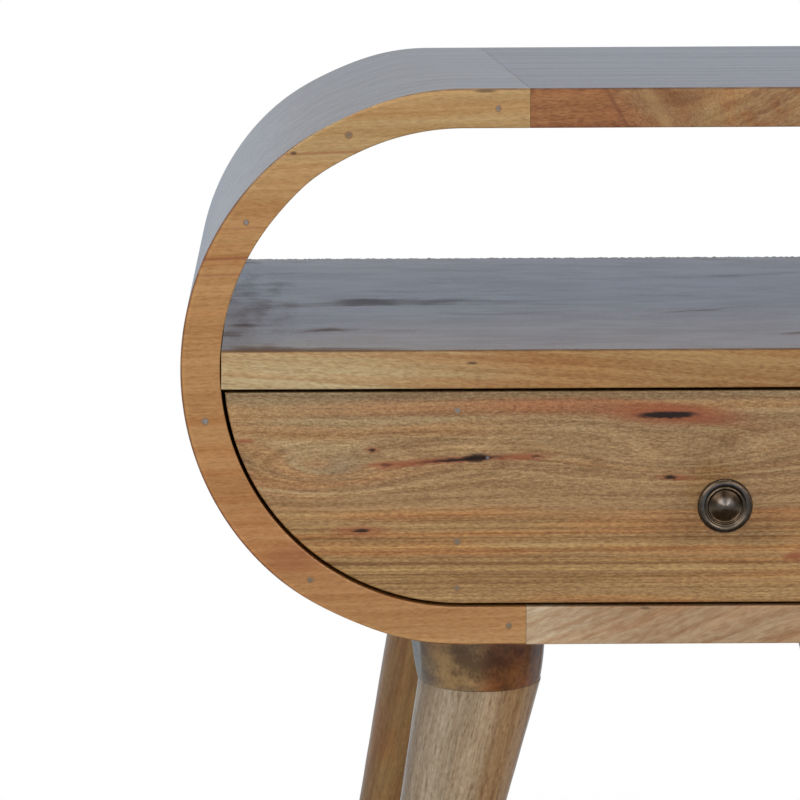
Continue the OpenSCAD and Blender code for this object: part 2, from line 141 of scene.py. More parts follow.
class TableSizes(bpy.types.PropertyGroup):
    """Sizes of the details that the packed model doesn't hold."""

    ease: length("Eased edge", "Radius of the rounded edges of the casing and the shelf", 0.8, 0.2, 2)
    end_swell: length("End swell", "Extra thickness of a round end at its outermost point", 0.4, 0, 2)
    shoulder_pull: length("Shoulder pull", "How far a round end is planed in at its shoulders", 1.2, 0, 2)
    inner_kink: length("Inner kink", "Depth of the saw's slip on the inside of a round end", 0.6, 0, 2)
    splinters: length("Splinters", "Height of the rough fibres on the shelf's back edge", 0.5, 0, 2)
    joint_gap: length("Joint line", "Width of the butt joints between rails and ends", 0.16, 0, 1)
    collar_facet: length("Collar facet", "Distance from a collar's axis to its planed facet", 32.2, 25, 34)
    turning: length("Turning waves", "Height of the waves that turning left in the legs", 0.16, 0, 1)
    nail_head: length("Nail filler", "Radius of the filler over a nail", 1.55, 0.5, 4)
    leg_waves: IntProperty(
        name="Leg rings", description="Number of rings along a leg", min=8, max=200, default=56
    )


class TableColours(bpy.types.PropertyGroup):
    """Colours of the woods and metals."""

    end_light: colour("Ends, light", "Light wood of the round ends", 196, 163, 113)
    end_dark: colour("Ends, dark", "Darker grain of the round ends", 166, 125, 74)
    end_red: colour("Ends, red", "Red bands of the round ends", 150, 88, 52)
    rail_light: colour("Top rail, light", "Light wood of the top rail", 169, 133, 91)
    rail_dark: colour("Top rail, dark", "Dark figure of the top rail", 130, 89, 55)
    pale_light: colour("Bottom rail, light", "Light wood of the bottom rail", 189, 161, 125)
    pale_dark: colour("Bottom rail, dark", "Pink grain of the bottom rail", 155, 114, 77)
    shelf_light: colour("Shelf, light", "Light wood of the shelf", 197, 171, 126)
    shelf_dark: colour("Shelf, dark", "Golden grain of the shelf", 166, 129, 84)
    drawer_light: colour("Drawer, light", "Light wood of the drawer front", 183, 146, 101)
    drawer_dark: colour("Drawer, dark", "Olive grain of the drawer front", 133, 94, 56)
    drawer_red: colour("Drawer, red", "Red wood around the drawer front's knots", 150, 76, 44)
    knot: colour("Knots", "Knots and open cracks", 36, 22, 15)
    collar_light: colour("Collars, light", "Light blotches of the collars", 134, 110, 78)
    collar_dark: colour("Collars, dark", "Dark blotches of the collars", 80, 61, 44)
    leg_light: colour("Legs, light", "Light wood of the legs", 181, 165, 140)
    leg_dark: colour("Legs, dark", "Brown grain of the legs", 140, 117, 89)
    plain_light: colour("Inner wood, light", "Light wood inside the table", 196, 166, 124)
    plain_dark: colour("Inner wood, dark", "Grain of the wood inside the table", 160, 124, 84)
    bronze: colour("Knob", "Metal of the knob", 98, 84, 68)
    bronze_worn: colour("Knob, worn", "High places of the knob that are rubbed bright", 128, 114, 98)
    filler: colour("Nail filler", "Filler over the nail heads", 138, 140, 142)


class StageSettings(bpy.types.PropertyGroup):
    """Floor, light and camera."""

    floor_size: length("Floor radius", "Radius of the floor", 6000, 100, 20000)
    key_power: amount("Key light", "Power of the soft box at the left", 17, unit="POWER", min=0)
    fill_power: amount("Fill light", "Power of the soft box at the right", 11, unit="POWER", min=0)
    ambient: amount("Ambient", "Light from all around", 0.55, min=0, max=2)
    sky_low: linear_colour("Low sky", "What gloss sees at the horizon", (0.36, 0.43, 0.51), most=2)
    sky_high: linear_colour("High sky", "What gloss sees overhead", (0.295, 0.345, 0.415), most=2)
    window: amount("Window", "Brightness of the window that gloss sees in front", 3.8, min=0)
    camera_place: FloatVectorProperty(
        name="Camera", description="Place of the camera", subtype="TRANSLATION", unit="LENGTH", size=3,
        default=(-0.2023, -1.5664, 0.6022),
    )
    camera_dip: amount("Dip", "How far the camera looks down", 0.16548, subtype="ANGLE")
    camera_roll: amount("Roll", "How far the camera leans to its right", 0.0048, subtype="ANGLE")
    camera_lens: amount("Lens", "Focal length in millimetres", 139.5, min=20, max=300)
    camera_shift: amount("Shift", "Sideways shift of the frame", 0.15)


# Shader maths


class Number:
    """A socket that carries one number, with the arithmetic that the patterns are written in."""

    def __init__(self, maker, socket):
        self.maker = maker
        self.socket = socket

    def maths(self, operation, first, second=0):
        """The result of a Math node."""
        return self.maker.node("ShaderNodeMath", {"operation": operation}, {0: first, 1: second})

    def __add__(self, other):
        return self.maths("ADD", self, other)

    def __sub__(self, other):
        return self.maths("SUBTRACT", self, other)

    def __rsub__(self, other):
        return self.maths("SUBTRACT", other, self)

    def __mul__(self, other):
        return self.maths("MULTIPLY", self, other)

    def __truediv__(self, other):
        return self.maths("DIVIDE", self, other)

    def __rtruediv__(self, other):
        return self.maths("DIVIDE", other, self)

    def __pow__(self, other):
        return self.maths("POWER", self, other)

    def __abs__(self):
        return self.maths("ABSOLUTE", self)

    def most(self, other):
        """The larger of two numbers."""
        return self.maths("MAXIMUM", self, other)

    __radd__ = __add__
    __rmul__ = __mul__


def hypot(across, up):
    """How far a place lies from the middle, from its two distances."""
    return (across ** 2 + up ** 2) ** 0.5


class Tree:
    """A node tree, with the few kinds of node that the world and the materials share."""

    def __init__(self, tree):
        self.tree = tree
        self.tree.nodes.clear()

    def node(self, kind, settings=None, values=None, output=0):
        """Adds a node: its settings first, then the values or links of its sockets."""
        made = self.tree.nodes.new(kind)
        for key, value in (settings or {}).items():
            setattr(made, key, value)
        for key, value in (values or {}).items():
            if isinstance(value, Number):
                self.tree.links.new(value.socket, made.inputs[key])
            elif made.inputs[key].type == "RGBA":
                made.inputs[key].default_value = (*value, 1)
            else:
                made.inputs[key].default_value = value
        return Number(self, made.outputs[output]) if len(made.outputs) else None

    def split(self, point, axes="XYZ"):
        """The coordinates of a point, each a number."""
        return [self.node("ShaderNodeSeparateXYZ", None, {0: point}, axis) for axis in axes]

    def ray(self, kind):
        """1 where the ray that arrives is of a kind."""
        return self.node("ShaderNodeLightPath", output=f"Is {kind} Ray")

    def step(self, value, low, high, start=0.0, end=1.0):
        """Runs smoothly from start to end while the value goes from low to high."""
        values = {"Value": value, "From Min": low, "From Max": high, "To Min": start, "To Max": end}
        return self.node("ShaderNodeMapRange", {"interpolation_type": "SMOOTHSTEP"}, values)

    def blend(self, share, first, second):
        """A colour between two colours."""
        return self.node("ShaderNodeMix", {"data_type": "RGBA"}, {0: share, 6: first, 7: second}, output=2)


class Pattern(Tree):
    """A material's shader tree, and the colour on which its marks are laid one after another."""

    def __init__(self, name):
        self.material = bpy.data.materials.new(name)
        self.material.use_nodes = True
        self.base = None
        super().__init__(self.material.node_tree)

    def place(self, turn=None, centre=(0, 0, 0)):
        """X, Y and Z of the shaded point in the piece's own frame, turned about a centre if asked."""
        point = self.node("ShaderNodeTexCoord", output="Object")
        if turn is not None:
            values = {"Vector": point, "Location": centre, "Rotation": turn}
            point = self.node("ShaderNodeMapping", {"vector_type": "TEXTURE"}, values)
        return self.split(point)

    def noise(self, x, y, z, detail=2.0, roughness=0.5):
        """Smooth noise from 0 to 1, at one cell to each unit of its coordinates."""
        point = self.node("ShaderNodeCombineXYZ", None, {0: x, 1: y, 2: z})
        values = {"Vector": point, "Scale": 1.0, "Detail": detail, "Roughness": roughness}
        return self.node("ShaderNodeTexNoise", {"noise_dimensions": "3D"}, values)

    def skin(self, y, deep, shallow):
        """1 near the casing's front face and 0 within the wood, between two depths in millimetres."""
        return self.step(y, FRONT_Y + deep * MM, FRONT_Y + shallow * MM)

    def line(self, value, near, far):
        """1 where a value is 0, and 0 where it is far from it on either side."""
        return self.step(abs(value), far, near)

    def spot(self, x, z, centre, half, soft, slope=0.0):
        """1 inside a flat ellipse and 0 outside it, with a soft rim. Slope tips its long axis."""
        across = (x - centre[0]) / half[0]
        up = (z - centre[1] - (x - centre[0]) * slope) / half[1]
        return self.step(hypot(across, up), 1 + soft, 1 - soft)

    def hill(self, x, z, centre, half, height):
        """A rounded hill, for grain that bends around a place."""
        across = (x - centre[0]) / half[0]
        up = (z - centre[1]) / half[1]
        return height / (1 + across ** 2 + up ** 2) ** 1.5

    def tint(self, share, paint):
        """Multiplies the colour by a paint, as far as the share says."""
        settings = {"data_type": "RGBA", "blend_type": "MULTIPLY"}
        self.base = self.node("ShaderNodeMix", settings, {0: share, 6: self.base, 7: paint}, output=2)

    def shade(self, value, low, high, paint, share=1.0):
        """Tints more and more while a value goes from low to high, up to a share."""
        self.tint(self.step(value, low, high, end=share), paint)

    def cover(self, share, paint):
        """Covers the colour with a paint, as far as the share says."""
        self.base = self.blend(share, self.base, paint)

    def figure(self, value, share, dark, light, limits=(0.50, 0.66, 0.48, 0.34)):
        """Darkens between the first two limits of a value, and pales between the last two."""
        self.shade(value, *limits[:2], dark, share)
        self.shade(value, *limits[2:], light, share)

    def marks(self, x, z, rows, paint, where=1.0):
        """Covers soft ellipses. A row holds centre, half sizes, slope, softness and share."""
        spots = []
        for centre, half, slope, soft, share in rows:
            spots.append(self.spot(x, z, centre, half, soft, slope) * where * share)
            self.cover(spots[-1], paint)
        return spots

    def finish(self, roughness, height, bump, **sockets):
        """Ends the tree in one shader. What varies is linked, and what doesn't is set on the shader."""
        relief = {"Height": height, "Strength": bump, "Distance": 0.2 * MM}
        normal = self.node("ShaderNodeBump", None, relief)
        values = {"Base Color": self.base, "Roughness": roughness, "Normal": normal, **sockets}
        shader = self.node("ShaderNodeBsdfPrincipled", None, values)
        self.node("ShaderNodeOutputMaterial", None, {"Surface": shader})
        return self.material


class Grain:
    """The fibres of one board: broad figure, lines, short dashes and changes of warmth.

    Along, across and depth are the board's own coordinates. Wander and ripple say how far its fibres
    stray. Broad, middle, fine and dash are cells to a metre. Bend is added to the height of the grain,
    and deep quickens its change with depth.
    """

    def __init__(self, pattern, along, across, depth, seed, wander=0.008, ripple=0.0010,
                 broad=140, middle=480, fine=1300, dash=600, bend=0, deep=1):
        p = self.pattern = pattern
        within = depth * deep + FRONT_Y * (1 - deep)
        self.wave = p.noise(along * 5 + seed, across * 14, depth * 6) - 0.5
        quick = p.noise(along * 40 + seed, across * 90, depth * 30) - 0.5
        fibre = across + self.wave * wander + quick * ripple
        level = fibre + bend
        self.broad = p.noise(along * 2.5 + seed, level * broad, within * 30)
        self.middle = p.noise(along * 9 + seed, level * middle, within * 120)
        self.fine = p.noise(along * fine * 0.28 + seed, fibre * fine, depth * fine * 0.6, detail=3)
        self.dash = p.noise(along * dash + seed, fibre * 1500, depth * 1500, detail=1)
        self.warmth = p.noise(along * 7 + seed * 3, level * 110, within * 35)

    def wood(self, light, dark, weights=(0.34, 0.36, 0.50), contrast=0.15, glow=0.5, dashes=0.6):
        """Lays the board's colour, before its own marks."""
        p = self.pattern
        parts = (self.broad, self.middle, self.fine)
        share = sum((part - 0.5) * weight for part, weight in zip(parts, weights))
        p.base = p.blend(p.step(share, -contrast, contrast), light, dark)
        p.shade(self.warmth, 0.44, 0.64, (1.10, 0.90, 0.76), glow)
        p.figure(self.dash, dashes, (0.54, 0.50, 0.44), (1.18, 1.17, 1.13), (0.54, 0.70, 0.46, 0.32))

    def relief(self):
        """Height of the open grain."""
        return self.fine * 0.5 - self.dash * 0.8

    def gloss(self, low, high):
        """Roughness of the surface over the grain."""
        return self.pattern.step(self.fine, 0.3, 0.7, low, high)

    def lacquered(self, roughness, bump=0.30, lost=0.0):
        """Ends the tree under a clear coat that is thinner along some fibres, and where it is lost."""
        thin = self.pattern.step(self.broad * 0.5 + self.middle * 0.5, 0.40, 0.62, 0.0, 0.22)
        coat = {**LACQUER, "Coat Weight": 1 - thin - lost}
        return self.pattern.finish(roughness, self.relief(), bump, **coat)


# Woods and metals


def edge_shade_and_highlight(p, inset, y, along):
    """Paints shade on the front edge, partly dirt held in the polish there, and a painted highlight on the
    strip beside it.
    """
    near = p.skin(y, 1.8, 0.7)
    uneven = p.noise(along * 60, 3.0, 1.0, detail=3)
    # Painted shade along the front edge, partly dirt held in the polish
    dark = p.step(inset, 1.0 * MM, 0.5 * MM) * near * p.step(uneven, 0.25, 0.60, 0.45, 1.0)
    p.tint(dark, (0.46, 0.36, 0.30))
    # Painted highlight on the strip beside the edge
    p.tint(p.line(inset - 1.7 * MM, 0.3 * MM, 0.9 * MM) * near * 0.5, (1.18, 1.16, 1.14))


def casing_inset(x, z):
    """How far in from the casing's outer surface a point lies."""
    return OUTER_R - hypot((abs(x) - OUTER_X).most(0), z - MID_Z)


def ends_wood(colours):
    """Honey-coloured blocks with level grain, yellower at the top and redder lower down."""
    p = Pattern("honey wood")
    x, y, z = p.place()
    level = z - x * 0.03
    grain = Grain(p, x, level, y, seed=3.0, wander=0.006, dash=300, deep=3.5)
    grain.wood(colours.end_light, colours.end_dark, (0.34, 0.34, 0.28), 0.18, glow=0.35, dashes=0.3)
    height = z + grain.wave * 0.02
    p.shade(height, 0.49, 0.43, (0.98, 0.79, 0.66))
    p.shade(height, 0.36, 0.31, (0.95, 0.88, 0.86), p.step(z, 0.262, 0.275))
    p.shade(z, 0.275, 0.262, (1.02, 1.06, 1.12))
    front = p.skin(y, 4, 1)
    # Height, half width and strength of the red lines
    lines = ((0.4866, 0.0009, 0.55), (0.4538, 0.0010, 0.35), (0.4402, 0.0011, 0.85), (0.4329, 0.0012, 0.5))
    for middle, half, share in lines:
        line = p.line(level - middle + grain.wave * 0.002, half * 0.2, half)
        p.cover(line * front * share, colours.end_red)
    cut = p.step(abs(x), 0.170, 0.215) * p.skin(y, 1, 4)
    heart = hypot(y - 0.030, z - 0.170) + grain.wave * 0.012
    rings = p.noise(heart * 210, x * 3, 2.0, detail=3)
    p.shade(rings, 0.50, 0.64, (0.84, 0.74, 0.64), cut * 0.7)
    p.shade(rings, 0.48, 0.34, (1.12, 1.12, 1.08), cut * 0.6)
    # Painted sky reflection: the top of the round ends is paler and bluer away from the front face
    p.shade(z, 0.480, 0.505, (0.90, 0.98, 1.12), 1 - front)
    # Centre, half sizes, slope, softness and strength of a bruise and of two pits
    bruise = ((-0.1970, 0.2930), (0.0120, 0.0060), 0, 0.6, 0.5)
    pits = (
        ((-0.1956, 0.4812), (0.0013, 0.0008), 0, 0.5, 0.7),
        ((-0.1091, 0.5088), (0.0048, 0.0007), 0, 0.4, 0.6),
    )
    p.marks(x, z, (bruise,), colours.end_red, front)
    p.marks(x, z, pits, colours.knot, front)
    # Painted shade and highlight along the front edge
    edge_shade_and_highlight(p, casing_inset(x, z), y, x + z)
    return grain.lacquered(grain.gloss(0.20, 0.27))


def top_rail_wood(colours):
    """Reddish board with mottled figure, slanting lines and curly strokes."""
    p = Pattern("red wood")
    x, y, z = p.place()
    curl = p.step(x, -0.045, 0.010) * p.skin(y, 30, 2)
    bend = p.noise(x * 16 + 4, z * 20, y * 12) - 0.5
    level = z - x * curl * 0.62 + bend * curl * 0.014
    grain = Grain(p, x + z * curl * 0.6, level, y, seed=7.0, wander=0.010, ripple=0.004,
                  middle=330, dash=300, deep=3)
    grain.wood(colours.rail_light, colours.rail_dark, (0.30, 0.32, 0.42), 0.16, glow=0.35, dashes=0.55)
    front = p.skin(y, 4, 1)
    mottle = p.noise(x * 150, z * 230, y * 150, detail=3)
    p.shade(mottle, 0.42, 0.62, (0.84, 0.76, 0.68), front * 0.3 + 0.15)
    quilt = p.noise(x * 75 + z * 60, z * 55 - x * 20, 9.0)
    p.figure(quilt, curl * front * 0.8, (0.94, 0.74, 0.58), (1.14, 1.20, 1.18), (0.50, 0.64, 0.48, 0.36))
    slant = x + (z - 0.501) * 0.62 + bend * 0.006
    p.shade(slant, -0.030, -0.056, (1.01, 0.74, 0.60), front * 0.5 + 0.5)
    p.tint(p.line(x + 0.002 + bend * 0.02, 0.004, 0.018) * front * 0.7, (1.10, 1.12, 1.06))
    p.cover(p.line(slant + 0.0497, 0.0004, 0.0015) * front * 0.5, tone(112, 62, 38))
    p.cover(p.line(slant + 0.0330 + bend * 0.010, 0.0006, 0.0040) * front * 0.30, tone(190, 154, 104))
    p.tint(p.line(x - 0.0017 + z * 0.1 - 0.05, 0.001, 0.004) * front * 0.5, (1.02, 0.84, 0.74))
    # Painted sky reflection: the rail's top is paler and bluer
    p.shade(z, 0.5085, 0.5097, (1.08, 1.18, 1.26))
    # Painted shade and highlight along the front edge
    edge_shade_and_highlight(p, casing_inset(x, z), y, x)
    return grain.lacquered(grain.gloss(0.20, 0.27))


def bottom_rail_wood(colours):
    """Pale pinkish board whose streaks rise across it."""
    p = Pattern("pale wood")
    x, y, z = p.place()
    bend = p.noise(x * 12 + 2, z * 20, y * 12) - 0.5
    along = x * 0.92 + z * 0.38
    across = z * 0.92 - x * 0.34 + bend * 0.010
    grain = Grain(p, along, across, y, seed=11.0, broad=110, middle=330, fine=800, dash=200)
    grain.wood(colours.pale_light, colours.pale_dark, (0.36, 0.34, 0.30), 0.17, dashes=0.3)
    p.shade(x, -0.03, -0.09, (1.30, 1.50, 1.74))
    pit = ((-0.0333, 0.2692), (0.0022, 0.0006), 0, 0.5, 0.6)
    p.marks(x, z, (pit,), colours.knot)
    return grain.lacquered(grain.gloss(0.20, 0.27))


def shelf_wood(colours):
    """Yellow-tan board, pale at its lower left and golden at the right, with brown streaks on top."""
    p = Pattern("shelf wood")
    x, y, z = p.place()
    grain = Grain(p, x, z + x * 0.07, y, seed=17.0, wander=0.006, broad=170, dash=300)
    grain.wood(colours.shelf_light, colours.shelf_dark, (0.34, 0.36, 0.40), 0.16, dashes=0.4)
    slant = z + (x + 0.22) * 0.06 + grain.wave * 0.006
    p.shade(slant, 0.3862, 0.3838, (1.08, 1.17, 1.28), p.step(x, -0.110, -0.165) * 0.8)
    p.shade(x, -0.18, -0.06, (0.78, 0.63, 0.46))
    pit = ((-0.1143, 0.3846), (0.0022, 0.0006), 0, 0.5, 0.7)
    p.marks(x, z, (pit,), colours.knot, p.skin(y, 2, 1))
    # Painted shade and highlight along the front edge
    edge_shade_and_highlight(p, SHELF_HIGH.z - z, y, x)
    drift = y + (p.noise(x * 60, y * 12, 1.0, detail=4) - 0.5) * 0.020
    # Centre, half sizes, slope and strength of the stains on the top
    stains = (
        ((-0.1620, 0.000), (0.013, 0.0120), 0.0, 0.55),
        ((-0.1480, 0.002), (0.034, 0.0125), 0.1, 0.60),
        ((-0.1050, 0.003), (0.042, 0.0110), 0.0, 0.42),
        ((-0.1300, 0.045), (0.030, 0.0080), 0.0, 0.30),
        ((-0.1800, -0.097), (0.011, 0.0060), 0.0, 0.60),
        ((-0.1600, -0.100), (0.050, 0.0035), 0.05, 0.35),
        ((-0.0700, -0.040), (0.060, 0.0060), 0.1, 0.30),
        ((0.0040, -0.037), (0.038, 0.0035), 0.53, 0.50),
        ((0.0600, 0.107), (0.048, 0.0060), 0.25, 0.45),
        ((0.0500, -0.108), (0.020, 0.0040), 0.80, 0.60),
        ((-0.2120, 0.000), (0.016, 0.0700), 0.0, 0.35),
        ((-0.1900, -0.158), (0.055, 0.0090), 0.0, 0.45),
    )
    brown = sum(p.spot(x, drift, centre, half, 0.9, slope) * share for centre, half, slope, share in stains)
    mottle = p.noise(x * 70, y * 22, 4.0)
    brown = brown + (p.step(mottle, 0.20, 0.80) - 0.3) * p.step(x, -0.165, -0.215) * 0.7
    streak = p.noise(x * 7 + 2, y * 60, 6.0, detail=3)
    brown = brown + (grain.middle - 0.5) * 0.6 + (p.step(streak, 0.50, 0.72) - 0.27) * 0.35
    top = p.step(z, SHELF_HIGH.z - 1.0 * MM, SHELF_HIGH.z - 0.4 * MM)
    brown = p.step(brown * top, 0.0, 1.0, 0.0, 0.85)
    # Painted sky reflection: the top is paler and bluer in a patch at its left, and bluer towards its front
    p.tint(p.spot(x, drift, (-0.1850, 0.030), (0.030, 0.060), 1.0) * top, (1.25, 1.45, 1.80))
    p.shade(y, -0.040, -0.090, (0.93, 1.00, 1.12), top)
    p.cover(brown, tone(104, 74, 52))
    return grain.lacquered(grain.gloss(0.22, 0.27) + brown * 0.22, 0.12, brown * 0.8)


def drawer_wood(colours):
    """Olive-tan board with swirling figure, a red band, knots and a long filled crack."""
    p = Pattern("drawer wood")
    x, y, z = p.place()
    # Centre, half sizes and height of the hills round which the grain bends
    hills = (
        ((-0.1830, 0.3350), (0.036, 0.0115), 0.0190),
        ((-0.0160, 0.3415), (0.048, 0.0120), 0.0170),
        ((-0.1080, 0.3330), (0.050, 0.0060), -0.0040),
    )
    bend = sum(p.hill(x, z, *hill) for hill in hills)
    level = z + bend
    grain = Grain(p, x, z, y, seed=23.0, wander=0.004, ripple=0.0014, broad=210, bend=bend)
    grain.wood(colours.drawer_light, colours.drawer_dark, (0.30, 0.34, 0.44), 0.17, glow=0.8, dashes=0.38)
    lower = p.step(z, 0.326, 0.302)
    for seed, scale, share in ((9.0, 230, 0.6), (14.0, 600, 0.6), (17.0, 1050, 0.7)):
        lines = p.noise(x * 1.8 + seed, level * scale, 0.0, detail=1)
        p.figure(lines, lower * share, (0.80, 0.73, 0.62), (1.16, 1.18, 1.08), (0.52, 0.64, 0.48, 0.36))
    # Centre, stretch to the left and to the right, half height and strength of the looped figures
    figures = (
        ((-0.1800, 0.3375), (29.0, 9.0), 0.0108, 0.9),
        ((-0.0250, 0.3445), (10.0, 22.0), 0.0100, 0.6),
    )
    for (middle_x, middle_z), (left, right), half, share in figures:
        along = (x - middle_x) * p.step(x, middle_x - 0.012, middle_x + 0.012, left, right)
        reach = hypot(along, (z - middle_z) / half + grain.wave)
        zone = p.step(reach, 2.0, 0.8) * share
        loops = p.noise(reach * 8 + middle_x, x * 24, z * 24, detail=1)
        p.figure(loops, zone, (0.82, 0.78, 0.72), (1.16, 1.18, 1.16), (0.52, 0.66, 0.48, 0.34))
    p.shade(z, 0.322, 0.308, (1.07, 1.09, 1.02))
    flecks = p.noise(x * 800, z * 1000, 2.0, detail=1)
    p.figure(flecks, p.step(z, 0.312, 0.330, 0.0, 0.55), (0.72, 0.68, 0.64), (1.18, 1.17, 1.15))
    p.tint(p.spot(x, z, (-0.184, 0.3360), (0.036, 0.0150), 0.6) * 0.9, (1.06, 1.12, 1.18))
    p.tint(p.spot(x, z, (-0.176, 0.3360), (0.010, 0.0050), 0.8) * 0.7, (0.78, 0.86, 0.96))
    arcs = p.line(level - 0.3302 - (x + 0.15) * 0.02, 0.0006, 0.0026) * p.step(x, -0.215, -0.190)
    p.tint(arcs * p.step(z, 0.332, 0.326) * 0.6, (1.18, 1.22, 1.20))
    p.shade(z, 0.322, 0.345, (0.99, 1.05, 1.09))
    p.shade(z, 0.348, 0.360, (1.04, 1.11, 1.16))
    p.shade(z, 0.3650, 0.3680, (0.84, 0.88, 0.94))
    wave = grain.wave * 0.003
    band = p.line(z - 0.3640 + p.step(x, -0.06, 0.06) * 0.0110 + wave, 0.0020, 0.0056)
    along = p.step(x, -0.23, -0.16) * 0.35 + p.step(x, -0.15, -0.07) * 0.6 - p.step(x, -0.01, 0.03) * 0.75
    p.tint(band * along, (0.89, 0.60, 0.53))
    # Height, half width and tint of the level streaks
    streaks = (
        (0.2970, 0.0008, (0.92, 0.76, 0.64)),
        (0.3058, 0.0010, (0.96, 0.80, 0.70)),
        (0.2887, 0.0008, (1.18, 1.20, 1.16)),
        (0.3150, 0.0012, (0.94, 0.82, 0.76)),
    )
    for height, half, paint in streaks:
        line = p.line(level - height + wave * 0.3 - (x + 0.1) * 0.010, half * 0.4, half * 1.6)
        p.tint(line * 0.8, paint)
    # Centre, half sizes, slope, softness and strength of the stains, the knots and a speck in one of them
    stains = (
        ((-0.0244, 0.3600), (0.0250, 0.0042), -0.02, 0.8, 0.75),
        ((-0.1290, 0.3388), (0.0320, 0.0015), 0.067, 0.6, 0.75),
        ((-0.0900, 0.3407), (0.0110, 0.0014), 0.030, 0.8, 0.75),
        ((-0.1660, 0.3061), (0.0110, 0.0020), 0.0, 0.9, 0.7),
        ((-0.2185, 0.3487), (0.0042, 0.0007), 0.0, 0.7, 0.7),
        ((0.0359, 0.2933), (0.0050, 0.0018), 0.10, 0.7, 0.8),
        ((-0.1540, 0.3370), (0.0060, 0.0016), 0.0, 0.8, 0.6),
        ((-0.0200, 0.3307), (0.0080, 0.0014), -0.05, 0.8, 0.6),
        ((-0.1600, 0.3442), (0.0030, 0.0012), 0.0, 0.8, 0.7),
    )
    knots = (
        ((-0.0244, 0.3599), (0.0134, 0.0015), 0.01, 0.35, 1.0),
        ((-0.1190, 0.3396), (0.0170, 0.0008), 0.067, 0.6, 0.95),
        ((-0.1118, 0.3403), (0.0056, 0.0019), 0.05, 0.5, 0.95),
        ((-0.0226, 0.3308), (0.0028, 0.0008), -0.05, 0.6, 0.95),
        ((-0.1600, 0.3442), (0.0016, 0.0007), 0.0, 0.6, 0.9),
        ((-0.1651, 0.3063), (0.0036, 0.0009), 0.05, 0.5, 0.95),
        ((-0.1535, 0.3371), (0.0028, 0.0006), 0.0, 0.7, 0.6),
        ((-0.0845, 0.3409), (0.0020, 0.0006), 0.05, 0.7, 0.7),
    )
    speck = ((-0.1068, 0.3404), (0.0007, 0.0006), 0, 0.5, 0.8)
    ragged = z + (grain.fine - 0.5) * 0.0016 + (grain.middle - 0.5) * 0.0012
    p.marks(x, ragged, stains, colours.drawer_red)
    matt = sum(p.marks(x, ragged, knots, colours.knot))
    p.marks(x, ragged, (speck,), tone(120, 122, 130))
    return grain.lacquered(grain.gloss(0.32, 0.42) + matt * 0.3, 0.45, matt * 0.8)


def collar_wood(colours):
    """Dark turned wood, blotched with olive, mauve and brown, with painted light and shade across its sides.
    """
    p = Pattern("collar wood")
    x, y, z = p.place()
    blotch = p.noise(x * 45, y * 45, z * 60, detail=4, roughness=0.6)
    stain = p.noise(x * 60 + 5, y * 60, z * 90, detail=4)
    warm = p.noise(x * 40 + 9, y * 40, z * 40)
    fibre = p.noise(x * 800, y * 800, z * 500)
    light = p.step(blotch * 0.75 + fibre * 0.25, 0.36, 0.62)
    p.base = p.blend(light, colours.collar_dark, colours.collar_light)
    p.shade(warm, 0.48, 0.66, (1.10, 0.88, 0.84), 0.6)
    p.cover(p.step(stain, 0.52, 0.70) * 0.45, tone(84, 68, 64))
    p.shade(fibre, 0.55, 0.75, (0.72, 0.70, 0.68), 0.5)
    out = abs(x)
    # Painted light and shade across each collar: darker at its outer side, brighter in the middle, darker
    # and redder at its inner side, which is partly red wood
    p.shade(out, 0.126, 0.138, (0.62, 0.66, 0.62))
    p.shade(out, 0.138, 0.126, (1.72, 1.62, 1.32), p.step(out, 0.100, 0.112))
    p.shade(out, 0.112, 0.100, (1.03, 0.58, 0.28))
    # Painted shade: the back collars, under the table, are darker and browner, partly their own wood
    p.shade(y, -0.05, 0.05, (0.84, 0.72, 0.47))
    return p.finish(p.step(fibre, 0.3, 0.7, 0.34, 0.44), fibre, 0.3, **THIN_LACQUER)


def leg_wood(colours, name, top, axis, inward, back):
    """Greyish-tan wood whose fine grain runs down the leg, with painted shade that makes it browner towards
    the table's middle.
    """
    p = Pattern(name)
    turn = Vector((0, 0, -1)).rotation_difference(axis).to_euler()
    x, y, z = p.place(turn, top)
    seed = 31.0 + 4 * inward + 9 * back
    grain = Grain(p, z, x, y, seed=seed, broad=100, middle=380, fine=1000, dash=150)
    grain.wood(colours.leg_light, colours.leg_dark, (0.34, 0.26, 0.16), glow=0.4, dashes=0.2)
    strength = 0.35 if back else 0.65
    lines = p.noise(z * 30 + seed, x * 1000, y * 1000)
    dashes = p.noise(z * 170 + seed, x * 900, y * 900, detail=1)
    flecks = p.noise(x * 620, y * 620, z * 420)
    p.figure(lines, strength, (0.78, 0.70, 0.62), (1.16, 1.15, 1.14), (0.50, 0.66, 0.46, 0.34))
    p.shade(dashes, 0.58, 0.72, (0.58, 0.47, 0.36), strength)
    p.figure(flecks, strength, (0.84, 0.78, 0.72), (1.14, 1.14, 1.14), (0.54, 0.66, 0.46, 0.36))
    # Painted shade: the side towards the table's middle is browner
    p.shade(x * inward, -0.002, 0.016, (0.97, 0.72, 0.45), 0.9)
    # Painted shade: the back legs, under the table, are darker and browner, partly their own wood
    if back:
        cloud = p.noise(x * 50, y * 50, z * 30, detail=3)
        p.tint(1.0, (0.78, 0.57, 0.27))
        p.shade(cloud, 0.44, 0.62, (1.02, 0.82, 0.62), 0.7)
    return p.finish(grain.gloss(0.34, 0.44), lines - dashes, 0.35, **THIN_LACQUER)


def bare_wood(name, light, dark, turned, smooth, dashes=0.3, bump=0.2, **fibres):
    """Sanded wood without lacquer. Turned puts X, Y and Z in the order along, across and deep."""
    p = Pattern(name)
    grain = Grain(p, *turned(*p.place()), **fibres)
    grain.wood(light, dark, contrast=0.2, dashes=dashes)
    return p.finish(grain.gloss(*smooth), grain.relief(), bump)


